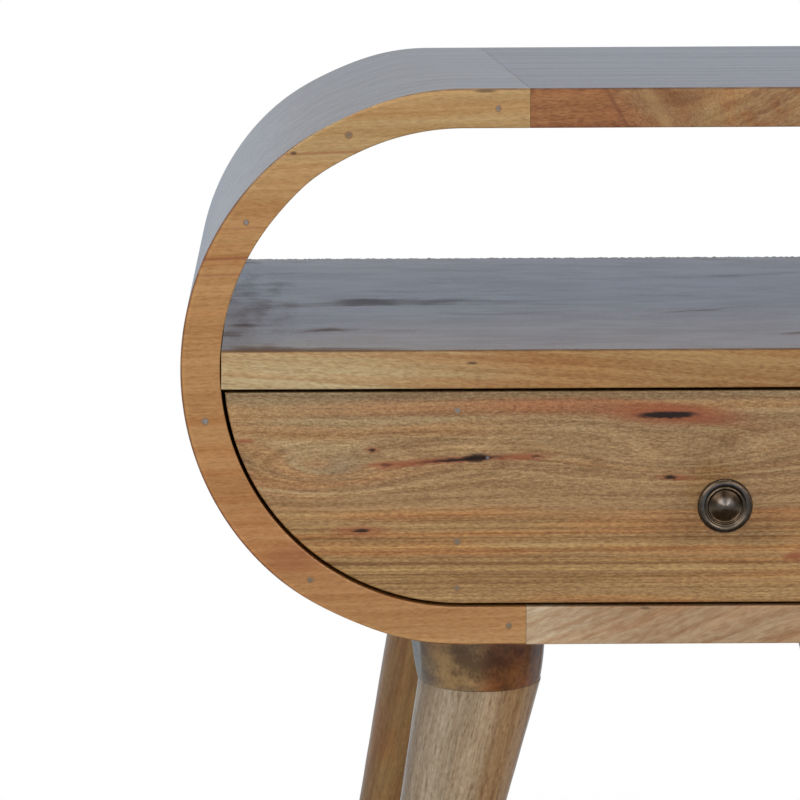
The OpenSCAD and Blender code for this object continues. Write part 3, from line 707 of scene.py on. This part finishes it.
def knob_bronze(colours):
    """Dark antique metal, rubbed bright where fingers touch it, with painted highlights on its upper parts
    and painted shade on its dome and rim.
    """
    p = Pattern("antique bronze")
    x, y, z = p.place()
    cloud = p.noise(x * 260, y * 260, z * 260, detail=3, roughness=0.6)
    scratch = p.noise(x * 1800, y * 900, z * 2600)
    p.base = p.blend(p.step(cloud, 0.45, 0.72) * 0.7, colours.bronze, colours.bronze_worn)
    rise = z - KNOB_Z
    out = hypot(x, rise)
    ring = p.step(out, 9.0 * MM, 9.6 * MM) * p.step(out, 11.5 * MM, 10.5 * MM)
    # Painted highlight: the ring and the crown turn paler and greyer, most on their upper parts, partly
    # rubbed metal
    high = p.step(rise, -6.0 * MM, 5.0 * MM, 0.25, 1.0)
    crown_highlight = p.step(out, 5.5 * MM, 2.5 * MM) * p.step(rise, -2.0 * MM, 2.0 * MM)
    p.cover((ring * high + crown_highlight * 0.7) * p.step(cloud, 0.30, 0.60, 0.4, 0.9), tone(106, 104, 106))
    # Painted shade on the upper flank of the dome, and painted light on its lower flank
    dome = p.step(out, 3.2 * MM, 5.2 * MM) * p.step(out, 8.0 * MM, 7.7 * MM)
    p.shade(rise, -1.0 * MM, 2.0 * MM, (0.36, 0.32, 0.30), dome)
    p.shade(rise, 1.0 * MM, -2.0 * MM, (1.30, 1.25, 1.20), dome)
    # Painted shade on the rim's outer flank
    p.shade(out, 10.4 * MM, 11.4 * MM, (0.72, 0.68, 0.66))
    rough = p.step(cloud * 0.6 + scratch * 0.4, 0.35, 0.65, 0.22, 0.34)
    return p.finish(rough, scratch * 0.5 + cloud, 0.04, Metallic=1.0)


def metal(name, light, dark, smooth):
    """Plated or plain metal, with faint scratches."""
    p = Pattern(name)
    x, y, z = p.place()
    cloud = p.noise(x * 300, y * 300, z * 300, detail=3)
    scratch = p.noise(x * 2200, y * 2200, z * 700)
    p.base = p.blend(p.step(cloud, 0.35, 0.65), light, dark)
    return p.finish(p.step(scratch, 0.3, 0.7, smooth, smooth + 0.14), scratch, 0.1, Metallic=1.0)


def filler_paste(colours):
    """Grey filler over the nails, with a rim where it thins out over the wood."""
    p = Pattern("nail filler")
    x, y, z = p.place()
    reach = p.node("ShaderNodeAttribute", {"attribute_name": "reach"}, output="Fac")
    cloud = p.noise(x * 900, y * 900, z * 900, detail=3)
    age = p.noise(x * 37, y * 20, z * 37)
    p.base = p.blend(p.step(cloud, 0.35, 0.65), colours.filler, tone(116, 110, 102))
    p.cover(p.step(age, 0.42, 0.58) * 0.8, tone(118, 100, 74))
    p.cover(p.step(reach + (cloud - 0.5) * 1.2, 0.40, 0.75), tone(148, 108, 70))
    return p.finish(p.step(cloud, 0.3, 0.7, 0.4, 0.6), cloud, 0.3)


# Mesh helpers


def make_piece(name, vertices, faces, material, smooth=40.0):
    """A mesh object at the origin, smooth except where faces meet at more than an angle."""
    mesh = bpy.data.meshes.new(name)
    mesh.from_pydata(vertices, [], faces)
    mesh.validate()
    work = bmesh.new()
    work.from_mesh(mesh)
    bmesh.ops.remove_doubles(work, verts=work.verts, dist=0.001 * MM)
    bmesh.ops.recalc_face_normals(work, faces=work.faces)
    work.to_mesh(mesh)
    work.free()
    mesh.shade_smooth()
    mesh.set_sharp_from_angle(angle=math.radians(smooth))
    mesh.materials.append(material)
    piece = bpy.data.objects.new(name, mesh)
    bpy.context.scene.collection.objects.link(piece)
    weighting = piece.modifiers.new("even shading", "WEIGHTED_NORMAL")
    weighting.keep_sharp = True
    return piece


def settle(piece, body, slot, *nodes):
    """Fixes a finished piece to its body, in place of the packed nodes that it stands for."""
    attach(piece, body)
    if nodes:
        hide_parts(*nodes)


def dress(material, *nodes):
    """Gives packed nodes that stay as they are their material."""
    for node in nodes:
        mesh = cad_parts[node].data
        mesh.materials.clear()
        mesh.materials.append(material)


def around(count):
    """The directions of points that stand evenly round a circle."""
    turns = [math.tau * k / count for k in range(count)]
    return [(math.cos(turn), math.sin(turn)) for turn in turns]


def corners():
    """The four corners of the table: name, side and end."""
    for side_name, side in SIDES.items():
        for end_name, end in ENDS.items():
            yield f"{end_name}_{side_name}", side, end


def loft(rings):
    """Faces between rings of equally many points, with an end face at each end."""
    count = len(rings[0])
    vertices = [point for ring in rings for point in ring]
    faces = []
    for first in range(0, len(vertices) - count, count):
        for i in range(count):
            j = (i + 1) % count
            faces.append((first + i, first + j, first + count + j, first + count + i))
    faces.append(tuple(range(count)))
    faces.append(tuple(range(len(vertices) - count, len(vertices))))
    return vertices, faces


def rounded_depths(front, back, ease, round_front, round_back, steps=5):
    """Section of a board in depth: (how far in from the rim, Y) from its front rim to its back rim."""
    turns = [math.pi / 2 * k / steps for k in range(steps + 1)]
    arc = [(ease * (1 - math.sin(turn)), ease * (1 - math.cos(turn))) for turn in turns]
    square = [(0.0, 0.0)]
    start = [(inset, front + depth) for inset, depth in (arc if round_front else square)]
    end = [(inset, back - depth) for inset, depth in reversed(arc if round_back else square)]
    return start + end


def bell(value, centre, width):
    """A bell-shaped curve that is 1 at its centre."""
    return math.exp(-(((value - centre) / width) ** 2))


def shoulder(degrees, sizes):
    """How far a round end is planed in at an angle above the level line."""
    return sizes.shoulder_pull * (bell(degrees, 66, 12) + bell(degrees, -66, 12))


def casing_under(x, sizes):
    """Height of the casing's underside above a place beside its middle."""
    beside = max(0.0, abs(x) - OUTER_X)
    degrees = math.degrees(math.acos(min(1.0, beside / OUTER_R)))
    radius = OUTER_R - shoulder(-degrees, sizes)
    return MID_Z - math.sqrt(radius ** 2 - beside ** 2)


def leg_top(corner):
    """Middle of the seam between a leg and its collar."""
    low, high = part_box(f"{corner}_collar")
    return Vector(((low.x + high.x) / 2, (low.y + high.y) / 2, low.z))


def smooth_line(points, steps):
    """A finer line through points, curved between them and straight at its ends."""
    points = [Vector(point) for point in points]
    line = []
    for before, start, stop, after in zip(points[:1] + points, points, points[1:], points[2:] + points[-1:]):
        for t in (i / steps for i in range(steps)):
            bend = (2 * before - 5 * start + 4 * stop - after) * t ** 2
            twist = (3 * start - before - 3 * stop + after) * t ** 3
            line.append(0.5 * (2 * start + (stop - before) * t + bend + twist))
    return line + points[-1:]


def nail_ends(node, levels):
    """Places where the nails of a packed node end in the faces at some values of Y."""
    near = 0.3 * MM
    apart = 5 * MM
    points = [vertex.co.copy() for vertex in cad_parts[node].data.vertices]
    places = []
    for level in levels:
        group = [point for point in points if abs(point.y - level) < near]
        while group:
            first = group[0]
            head = [point for point in group if (point - first).length < apart]
            group = [point for point in group if (point - first).length >= apart]
            middle = sum(head, Vector()) / len(head)
            places.append((middle.x, level, middle.z))
    return places


def end_stations(side, sizes, steps=128, straight=5):
    """Pairs of inner and outer points round one end, from its upper joint to its lower one."""
    reach = OUTER_X - JOINT_X - sizes.joint_gap / 2
    inner_x = OUTER_X - sizes.end_swell
    inner_reach = reach - sizes.end_swell
    upper = []
    for k in range(straight):
        left = 1 - k / straight
        upper.append(((inner_x - inner_reach * left, INNER_R), (OUTER_X - reach * left, OUTER_R)))
    bow = []
    for k in range(steps + 1):
        turn = math.pi / 2 - math.pi * k / steps
        degrees = math.degrees(turn)
        outer = OUTER_R - shoulder(degrees, sizes)
        inner = INNER_R + sizes.inner_kink * (bell(degrees, 52, 7) + 0.35 * bell(degrees, 10, 25))
        cosine, sine = math.cos(turn), math.sin(turn)
        bow.append(((inner_x + inner * cosine, inner * sine), (OUTER_X + outer * cosine, outer * sine)))
    lower = [((a, -inner), (b, -outer)) for (a, inner), (b, outer) in reversed(upper)]
    stations = upper + bow + lower
    return [((side * a[0], MID_Z + a[1]), (side * b[0], MID_Z + b[1])) for a, b in stations]


def band(stations, depths):
    """A board that runs along stations, with the same section in depth everywhere."""
    rings = []
    for inner, outer in stations:
        inner = Vector(inner)
        across = Vector(outer) - inner
        thick = across.length
        outside = [(1 - inset / thick, y) for inset, y in depths]
        inside = [(inset / thick, y) for inset, y in reversed(depths)]
        rings.append([(inner.x + across.x * s, y, inner.y + across.y * s) for s, y in outside + inside])
    return loft(rings)


# Operators


class MakePiece:
    """What every operator here shares."""

    bl_options = {"REGISTER", "UNDO"}


class BEDSIDE_OT_stage(MakePiece, bpy.types.Operator):
    """Lay the floor, hang the lamps and set up the camera"""

    bl_idname = "bedside.stage"
    bl_label = "Stage"

    def execute(self, context):
        settings = context.scene.bedside_stage
        self.floor(context, settings)
        self.world(context, settings)
        self.lamp(context, "key", (-1.35, -1.9, 1.75), 1.3, settings.key_power)
        self.lamp(context, "fill", (1.25, -2.0, 1.55), 1.1, settings.fill_power)
        self.camera(context, settings)
        context.scene.view_settings.view_transform = "Standard"
        return {"FINISHED"}

    def floor(self, context, settings):
        """A disc that is white to the camera, apart from the shadow near the table."""
        mesh = bpy.data.meshes.new("floor")
        size = settings.floor_size
        rim = [(size * cosine, size * sine, -0.1 * MM) for cosine, sine in around(96)]
        mesh.from_pydata(rim, [], [tuple(range(len(rim)))])
        p = Pattern("pale floor")
        x, y, _ = p.place()
        reach = hypot(x, y)
        gloss = p.ray("Glossy")
        seen = p.ray("Camera") * p.step(reach, 0.16, 0.46, 0.5, 1.0)
        before = p.step(y, -0.16, -0.24) * p.step(reach, 1.0, 0.5) * gloss
        far = gloss * p.step(reach, 0.5, 1.6)
        ground = p.node("ShaderNodeBsdfDiffuse", None, {"Color": (0.80, 0.85, 0.90)})
        for share, paint in ((seen, WHITE), (before, (0.12, 0.09, 0.07)), (far, settings.sky_low)):
            light = p.node("ShaderNodeEmission", None, {"Color": paint, "Strength": 1.0})
            ground = p.node("ShaderNodeMixShader", None, {0: share, 1: ground, 2: light})
        p.node("ShaderNodeOutputMaterial", None, {"Surface": ground})
        mesh.materials.append(p.material)
        floor = bpy.data.objects.new("floor", mesh)
        context.scene.collection.objects.link(floor)

    def world(self, context, settings):
        """White to the camera, a toned studio to gloss, and a plain level to everything else."""
        world = bpy.data.worlds.new("studio")
        context.scene.world = world
        world.use_nodes = True
        p = Tree(world.node_tree)
        side, ahead, up = p.split(p.node("ShaderNodeTexCoord", output="Generated"))
        window = p.step(up, 0.26, 0.32) * p.step(up, 0.44, 0.34) * p.step(ahead, -0.60, -0.76)
        beside = p.step(abs(side), 0.70, 0.90) * p.step(ahead, 0.0, -0.2)
        beside = beside * p.step(up, 0.00, 0.10) * p.step(up, 0.40, 0.25)
        studio = p.blend(p.step(up, -0.02, 0.08), settings.sky_low, settings.sky_high)
        # Where each light of the studio stands, and its colour
        zones = (
            (p.step(ahead, 0.10, -0.20), (0.66, 0.65, 0.64)),
            (window, (settings.window,) * 3),
            (beside, (1.0, 1.1, 1.25)),
            (p.step(up, 0.95, 0.99), (2.6, 2.9, 3.2)),
        )
        for zone, paint in zones:
            studio = p.blend(zone, studio, paint)
        tint = p.blend(p.ray("Glossy"), (settings.ambient,) * 3, studio)
        tint = p.blend(p.ray("Camera").most(p.ray("Transmission")), tint, WHITE)
        shader = p.node("ShaderNodeBackground", None, {"Color": tint, "Strength": 1.0})
        p.node("ShaderNodeOutputWorld", None, {"Surface": shader})

    def lamp(self, context, name, place, size, power):
        """A square soft box that faces the middle of the table."""
        data = bpy.data.lights.new(name, "AREA")
        data.shape = "SQUARE"
        data.size = size
        data.energy = power
        lamp = bpy.data.objects.new(name, data)
        lamp.location = place
        aim = Vector((0, 0, 0.33)) - lamp.location
        lamp.rotation_euler = aim.to_track_quat("-Z", "Y").to_euler()
        context.scene.collection.objects.link(lamp)

    def camera(self, context, settings):
        """The photograph's viewpoint."""
        data = bpy.data.cameras.new("camera")
        data.lens = settings.camera_lens
        data.sensor_width = 36
        data.shift_x = settings.camera_shift
        data.clip_start = 0.05
        data.clip_end = 50
        camera = bpy.data.objects.new("camera", data)
        camera.location = settings.camera_place
        tip = Matrix.Rotation(math.pi / 2 - settings.camera_dip, 3, "X")
        roll = Matrix.Rotation(-settings.camera_roll, 3, "Z")
        camera.rotation_euler = (tip @ roll).to_euler()
        context.scene.collection.objects.link(camera)
        context.scene.camera = camera


class BEDSIDE_OT_ends(MakePiece, bpy.types.Operator):
    """Build the front layer, core and back layer of both round ends"""

    bl_idname = "bedside.ends"
    bl_label = "Round Ends"

    def execute(self, context):
        sizes = context.scene.bedside_sizes
        material = ends_wood(context.scene.bedside_colours)
        layers = {
            "front": (FRONT_Y, CORE_FRONT_Y, sizes.ease, True, False),
            "core": (CORE_FRONT_Y, CORE_BACK_Y, sizes.ease, False, False),
            "back": (CORE_BACK_Y, BACK_Y, sizes.ease, False, True),
        }
        for side_name, side in SIDES.items():
            stations = end_stations(side, sizes)
            for layer, depths in layers.items():
                node = f"{side_name}_end_{layer}"
                piece = make_piece(f"{node}_block", *band(stations, rounded_depths(*depths)), material)
                settle(piece, "cabinet", "honey_wood", node)
        return {"FINISHED"}


class BEDSIDE_OT_rails(MakePiece, bpy.types.Operator):
    """Build the top rail and the bottom rail"""

    bl_idname = "bedside.rails"
    bl_label = "Rails"

    def execute(self, context):
        sizes = context.scene.bedside_sizes
        colours = context.scene.bedside_colours
        depths = rounded_depths(FRONT_Y, BACK_Y, sizes.ease, True, True)
        reach = JOINT_X - sizes.joint_gap / 2
        steps = 12
        places = [reach * (2 * k / steps - 1) for k in range(steps + 1)]
        rails = {
            "top": (1, top_rail_wood(colours), "red_wood"),
            "bottom": (-1, bottom_rail_wood(colours), "pale_wood"),
        }
        for name, (level, material, slot) in rails.items():
            stations = [((x, MID_Z + level * INNER_R), (x, MID_Z + level * OUTER_R)) for x in places]
            piece = make_piece(f"{name}_rail_board", *band(stations, depths), material)
            settle(piece, "cabinet", slot, f"{name}_rail")
        return {"FINISHED"}


class BEDSIDE_OT_shelf(MakePiece, bpy.types.Operator):
    """Build the shelf, with its scribed ends and its rough back edge"""

    bl_idname = "bedside.shelf"
    bl_label = "Shelf"

    def execute(self, context):
        sizes = context.scene.bedside_sizes
        section = self.section(sizes.ease)
        inner_x = OUTER_X - sizes.end_swell
        rough_y = BACK_Y - 1.5 * sizes.ease
        rough_z = SHELF_HIGH.z - 1.5 * sizes.ease
        count = 420
        rings = []
        for k in range(count + 1):
            ring = []
            for y, z in section:
                reach = inner_x + math.sqrt(INNER_R ** 2 - (z - MID_Z) ** 2) - SHELF_PLAY
                x = (2 * k / count - 1) * reach
                rise = 0.0
                if y > rough_y and z > rough_z:
                    rough = noise.noise((x * 500, 3.1, 0.0)) + 0.8 * noise.noise((x * 1300, 7.7, 0.0))
                    rise = sizes.splinters * max(0.0, 0.3 + rough)
                ring.append((x, y, z + rise))
            rings.append(ring)
        piece = make_piece("shelf_board", *loft(rings), shelf_wood(context.scene.bedside_colours))
        settle(piece, "cabinet", "shelf_wood", "shelf")
        return {"FINISHED"}

    def section(self, ease, steps=5, strip=4 * MM):
        """Y and Z of the points round the shelf's section, with a narrow strip along its rough edge."""
        front, back = FRONT_Y + ease, BACK_Y - ease
        low, high = SHELF_LOW.z + ease, SHELF_HIGH.z - ease
        points = []
        for y, z, start in ((front, low, 180), (back, low, 270), (back, high, 0), (front, high, 90)):
            for k in range(steps + 1):
                turn = math.radians(start + 90 * k / steps)
                points.append((y + ease * math.cos(turn), z + ease * math.sin(turn)))
            if start == 0:
                points.append((y - strip, SHELF_HIGH.z))
        return points


class BEDSIDE_OT_drawer(MakePiece, bpy.types.Operator):
    """Finish the drawer front, its box and the strips that guide it"""

    bl_idname = "bedside.drawer"
    bl_label = "Drawer"

    def execute(self, context):
        colours = context.scene.bedside_colours
        plain = bare_wood(
            "inner wood", colours.plain_light, colours.plain_dark, lambda x, y, z: (y, z, x), (0.5, 0.62),
            dashes=0.35, bump=0.3, seed=41.0,
        )
        panel = bare_wood(
            "panel wood", tone(204, 176, 134), tone(178, 144, 102), lambda x, y, z: (x, y + z, z),
            (0.52, 0.64), seed=47.0, broad=60, wander=0.03,
        )
        dress(drawer_wood(colours), "drawer_front")
        dress(plain, "drawer_left_side", "drawer_right_side", "drawer_back",
              "left_drawer_guide", "right_drawer_guide", "drawer_stops")
        dress(panel, "drawer_bottom", "back_panel")
        return {"FINISHED"}


class BEDSIDE_OT_fasteners(MakePiece, bpy.types.Operator):
    """Finish the dowels, nails, screws, bolts and inserts"""

    bl_idname = "bedside.fasteners"
    bl_label = "Fasteners"

    def execute(self, context):
        dowels = bare_wood(
            "dowel wood", tone(214, 188, 146), tone(188, 156, 112), lambda x, y, z: (x, z, y), (0.55, 0.7),
            seed=53.0, broad=300,
        )
        nails = metal("nail steel", tone(120, 116, 110), tone(84, 80, 76), 0.4)
        zinc = metal("bright zinc", tone(190, 190, 188), tone(160, 162, 164), 0.22)
        brass = metal("turned brass", tone(200, 168, 100), tone(168, 136, 76), 0.25)
        dress(dowels, "rail_dowels", "shelf_dowels")
        dress(nails, "left_end_nails", "right_end_nails", "drawer_front_nails", "drawer_back_nails",
              "drawer_bottom_pins")
        dress(zinc, "guide_screws", "knob_screw", "knob_washer", "leg_bolts")
        dress(brass, "leg_inserts")
        return {"FINISHED"}


class BEDSIDE_OT_fillers(MakePiece, bpy.types.Operator):
    """Cover the nail heads in the casing and the drawer front with filler"""

    bl_idname = "bedside.fillers"
    bl_label = "Nail Filler"

    def execute(self, context):
        material = filler_paste(context.scene.bedside_colours)
        tree = self.tree(context.scene.bedside_sizes, material)
        faces = {
            "cabinet": ((FRONT_Y, BACK_Y), ("left_end_nails", "right_end_nails")),
            "drawer": ((DRAWER_Y,), ("drawer_front_nails",)),
        }
        for body, (levels, nodes) in faces.items():
            places = [place for node in nodes for place in nail_ends(node, levels)]
            piece = self.scatter(context, f"{body}_nail_fillers", places, tree)
            settle(piece, body, "nail_steel")
        return {"FINISHED"}

    def tree(self, sizes, material):
        """Puts a flat round cap on every point, each sized a little differently."""
        tree = bpy.data.node_groups.new("Nail filler caps", "GeometryNodeTree")
        sockets = (
            ("Geometry", "INPUT", "NodeSocketGeometry", None),
            ("Radius", "INPUT", "NodeSocketFloat", sizes.nail_head),
            ("Height", "INPUT", "NodeSocketFloat", 0.12 * MM),
            ("Seed", "INPUT", "NodeSocketInt", 5),
            ("Material", "INPUT", "NodeSocketMaterial", material),
            ("Geometry", "OUTPUT", "NodeSocketGeometry", None),
        )
        for name, way, kind, value in sockets:
            socket = tree.interface.new_socket(name=name, in_out=way, socket_type=kind)
            if value is not None:
                socket.default_value = value
        p = Tree(tree)
        entry = tree.nodes.new("NodeGroupInput")
        given = {socket.name: Number(p, socket) for socket in entry.outputs if socket.name}
        radius = given["Radius"]
        ball = p.node("GeometryNodeMeshUVSphere", None, {"Segments": 24, "Rings": 12, "Radius": radius})
        reach = hypot(*p.split(p.node("GeometryNodeInputPosition"), "XZ")) / radius
        stored = {"Geometry": ball, "Name": "reach", "Value": reach}
        flat = p.node("ShaderNodeCombineXYZ", None, {0: 1.0, 1: given["Height"] / radius, 2: 1.0})
        cap = p.node("GeometryNodeStoreNamedAttribute", {"data_type": "FLOAT", "domain": "POINT"}, stored)
        cap = p.node("GeometryNodeTransform", None, {"Geometry": cap, "Scale": flat})
        cap = p.node("GeometryNodeSetShadeSmooth", None, {"Geometry": cap})
        draws = ({2: 0.75, 3: 1.3, "Seed": given["Seed"]}, {2: 0.8, 3: 1.15, "Seed": given["Seed"] + 1})
        random = "FunctionNodeRandomValue"
        size, wide = [p.node(random, {"data_type": "FLOAT"}, draw, output=1) for draw in draws]
        scale = p.node("ShaderNodeCombineXYZ", None, {0: size * wide, 1: 1.0, 2: size})
        spread = {"Points": given["Geometry"], "Instance": cap, "Scale": scale}
        caps = p.node("GeometryNodeInstanceOnPoints", None, spread)
        caps = p.node("GeometryNodeRealizeInstances", None, {"Geometry": caps})
        caps = p.node("GeometryNodeSetMaterial", None, {"Geometry": caps, "Material": given["Material"]})
        p.node("NodeGroupOutput", None, {0: caps})
        return tree

    def scatter(self, context, name, places, tree):
        """Runs the tree on places, and keeps its result as a plain mesh."""
        points = bpy.data.meshes.new(f"{name} places")
        points.from_pydata(places, [], [])
        holder = bpy.data.objects.new(f"{name} places", points)
        context.scene.collection.objects.link(holder)
        modifier = holder.modifiers.new("caps", "NODES")
        modifier.node_group = tree
        for socket in tree.interface.items_tree:
            if socket.in_out == "INPUT" and socket.socket_type != "NodeSocketGeometry":
                modifier[socket.identifier] = socket.default_value
        context.view_layer.update()
        evaluated = holder.evaluated_get(context.evaluated_depsgraph_get())
        mesh = bpy.data.meshes.new_from_object(evaluated)
        mesh.name = name
        holder.modifiers.clear()
        bpy.data.objects.remove(holder)
        piece = bpy.data.objects.new(name, mesh)
        context.scene.collection.objects.link(piece)
        return piece


class BEDSIDE_OT_knob(MakePiece, bpy.types.Operator):
    """Turn the knob, with its foot, neck, rim, bead, dish and dome"""

    bl_idname = "bedside.knob"
    bl_label = "Knob"

    def execute(self, context):
        widest = max(radius for radius, depth in KNOB_PROFILE)
        longest = max(depth for radius, depth in KNOB_PROFILE)
        scale_r = (KNOB_HIGH.x - KNOB_LOW.x) / 2 / widest
        scale_y = (DRAWER_Y - KNOB_LOW.y) / longest
        profile = [(radius * scale_r, depth * scale_y) for radius, depth in KNOB_PROFILE]
        rings = [
            [(radius * cosine, DRAWER_Y - depth, KNOB_Z + radius * sine) for cosine, sine in around(96)]
            for radius, depth in smooth_line(profile, 4)
        ]
        piece = make_piece("knob_turned", *loft(rings), knob_bronze(context.scene.bedside_colours), 50)
        settle(piece, "drawer", "antique_brass", "knob")
        return {"FINISHED"}


class BEDSIDE_OT_legs(MakePiece, bpy.types.Operator):
    """Turn the four legs"""

    bl_idname = "bedside.legs"
    bl_label = "Legs"

    def execute(self, context):
        sizes = context.scene.bedside_sizes
        colours = context.scene.bedside_colours
        for corner, side, end in corners():
            top = leg_top(corner)
            axis = Vector((side * math.tan(LEAN_SIDE), end * math.tan(LEAN_FRONT), -1)).normalized()
            name = f"leg wood {corner}".replace("_", " ")
            material = leg_wood(colours, name, top, axis, -side, end > 0)
            piece = make_piece(f"{corner}_leg_turned", *loft(self.rings(top, axis, sizes)), material)
            settle(piece, "cabinet", "leg_wood", f"{corner}_leg")
        return {"FINISHED"}

    def rings(self, top, axis, sizes, count=72):
        """Level rings of a leaning cone, with an eased edge at its top and at its foot."""
        cosine = -axis.z
        taper = (LEG_TOP_R - LEG_FOOT_R) / (top.z / cosine)
        start = top.z - TURNED_EDGE
        levels = [(top.z, TURNED_EDGE), (start, 0.0)]
        for k in range(1, sizes.leg_waves):
            levels.append((start - (start - FOOT_EDGE) * k / sizes.leg_waves, 0.0))
        levels += [(FOOT_EDGE, 0.0), (0.0, FOOT_EDGE)]
        rings = []
        for z, inset in levels:
            down = (top.z - z) / cosine
            middle = top + axis * down
            wave = sizes.turning * noise.noise((down * 60, top.x * 30, top.y * 30))
            ring = []
            for out in (Vector((*direction, 0)) for direction in around(count)):
                lean = out.dot(axis)
                radius = (LEG_TOP_R - taper * down) / (math.sqrt(1 - lean * lean) + taper * lean)
                ring.append(tuple(middle + out * (radius + wave - inset)))
            rings.append(ring)
        return rings


class BEDSIDE_OT_collars(MakePiece, bpy.types.Operator):
    """Turn the four collars between the casing and the legs"""

    bl_idname = "bedside.collars"
    bl_label = "Collars"

    def execute(self, context):
        sizes = context.scene.bedside_sizes
        material = collar_wood(context.scene.bedside_colours)
        for corner, side, _ in corners():
            rings = self.rings(leg_top(corner), side, sizes)
            piece = make_piece(f"{corner}_collar_turned", *loft(rings), material)
            settle(piece, "cabinet", "collar_wood", f"{corner}_collar")
        return {"FINISHED"}

    def rings(self, middle, side, sizes, count=120, steps=24):
        """Rings of a swelling collar, one side planed flat, its top scribed to the casing."""
        height = MID_Z - OUTER_R - middle.z
        drop = COLLAR_TOP_R - COLLAR_FOOT_R
        arc = (height ** 2 + drop ** 2) / (2 * drop)
        facet = math.radians(80)
        facet_normal = Vector((side * math.sin(facet), -math.cos(facet)))
        facet_slope = (sizes.collar_facet - COLLAR_FOOT_R) / height
        levels = [(0.0, TURNED_EDGE), (TURNED_EDGE, 0.0)]
        for k in range(1, steps + 1):
            levels.append((TURNED_EDGE + (height - TURNED_EDGE) * k / steps, 0.0))
        rings = []
        for up, inset in levels:
            share = up / height
            swell = COLLAR_TOP_R - arc + math.sqrt(arc ** 2 - (height - up) ** 2) - inset
            shift = COLLAR_SHIFT * share
            flat = COLLAR_FOOT_R + facet_slope * up - shift * math.sin(facet)
            ring = []
            for out in (Vector(direction) for direction in around(count)):
                facing = out.dot(facet_normal)
                radius = min(swell, flat / facing) if facing > 0.5 else swell
                x = middle.x + side * shift + out.x * radius
                z = middle.z + up + share ** 3 * (casing_under(x, sizes) - middle.z - height)
                ring.append((x, middle.y + out.y * radius, z))
            rings.append(ring)
        return rings


class BEDSIDE_PT_panel(bpy.types.Panel):
    """Sizes, colours and makers of the bedside table"""

    bl_idname = "BEDSIDE_PT_panel"
    bl_label = "Bedside Table"
    bl_space_type = "VIEW_3D"
    bl_region_type = "UI"
    bl_category = "Bedside Table"

    def draw(self, context):
        layout = self.layout
        for settings, name in GROUPS.items():
            column = layout.column(align=True)
            column.label(text=settings.__doc__)
            for key in settings.__annotations__:
                column.prop(getattr(context.scene, name), key)
        for maker in MAKERS:
            layout.operator(maker.bl_idname)


GROUPS = {
    TableSizes: "bedside_sizes",
    TableColours: "bedside_colours",
    StageSettings: "bedside_stage",
}
MAKERS = (
    BEDSIDE_OT_stage,
    BEDSIDE_OT_ends,
    BEDSIDE_OT_rails,
    BEDSIDE_OT_shelf,
    BEDSIDE_OT_drawer,
    BEDSIDE_OT_fasteners,
    BEDSIDE_OT_fillers,
    BEDSIDE_OT_knob,
    BEDSIDE_OT_legs,
    BEDSIDE_OT_collars,
)


def register():
    for cls in (*GROUPS, *MAKERS, BEDSIDE_PT_panel):
        bpy.utils.register_class(cls)
    for group, name in GROUPS.items():
        setattr(bpy.types.Scene, name, PointerProperty(type=group))


def unregister():
    for name in GROUPS.values():
        delattr(bpy.types.Scene, name)
    for cls in reversed((*GROUPS, *MAKERS, BEDSIDE_PT_panel)):
        bpy.utils.unregister_class(cls)


def main():
    register()
    for maker in MAKERS:
        group, name = maker.bl_idname.split(".")
        getattr(getattr(bpy.ops, group), name)()


if __name__ == "__main__":
    main()
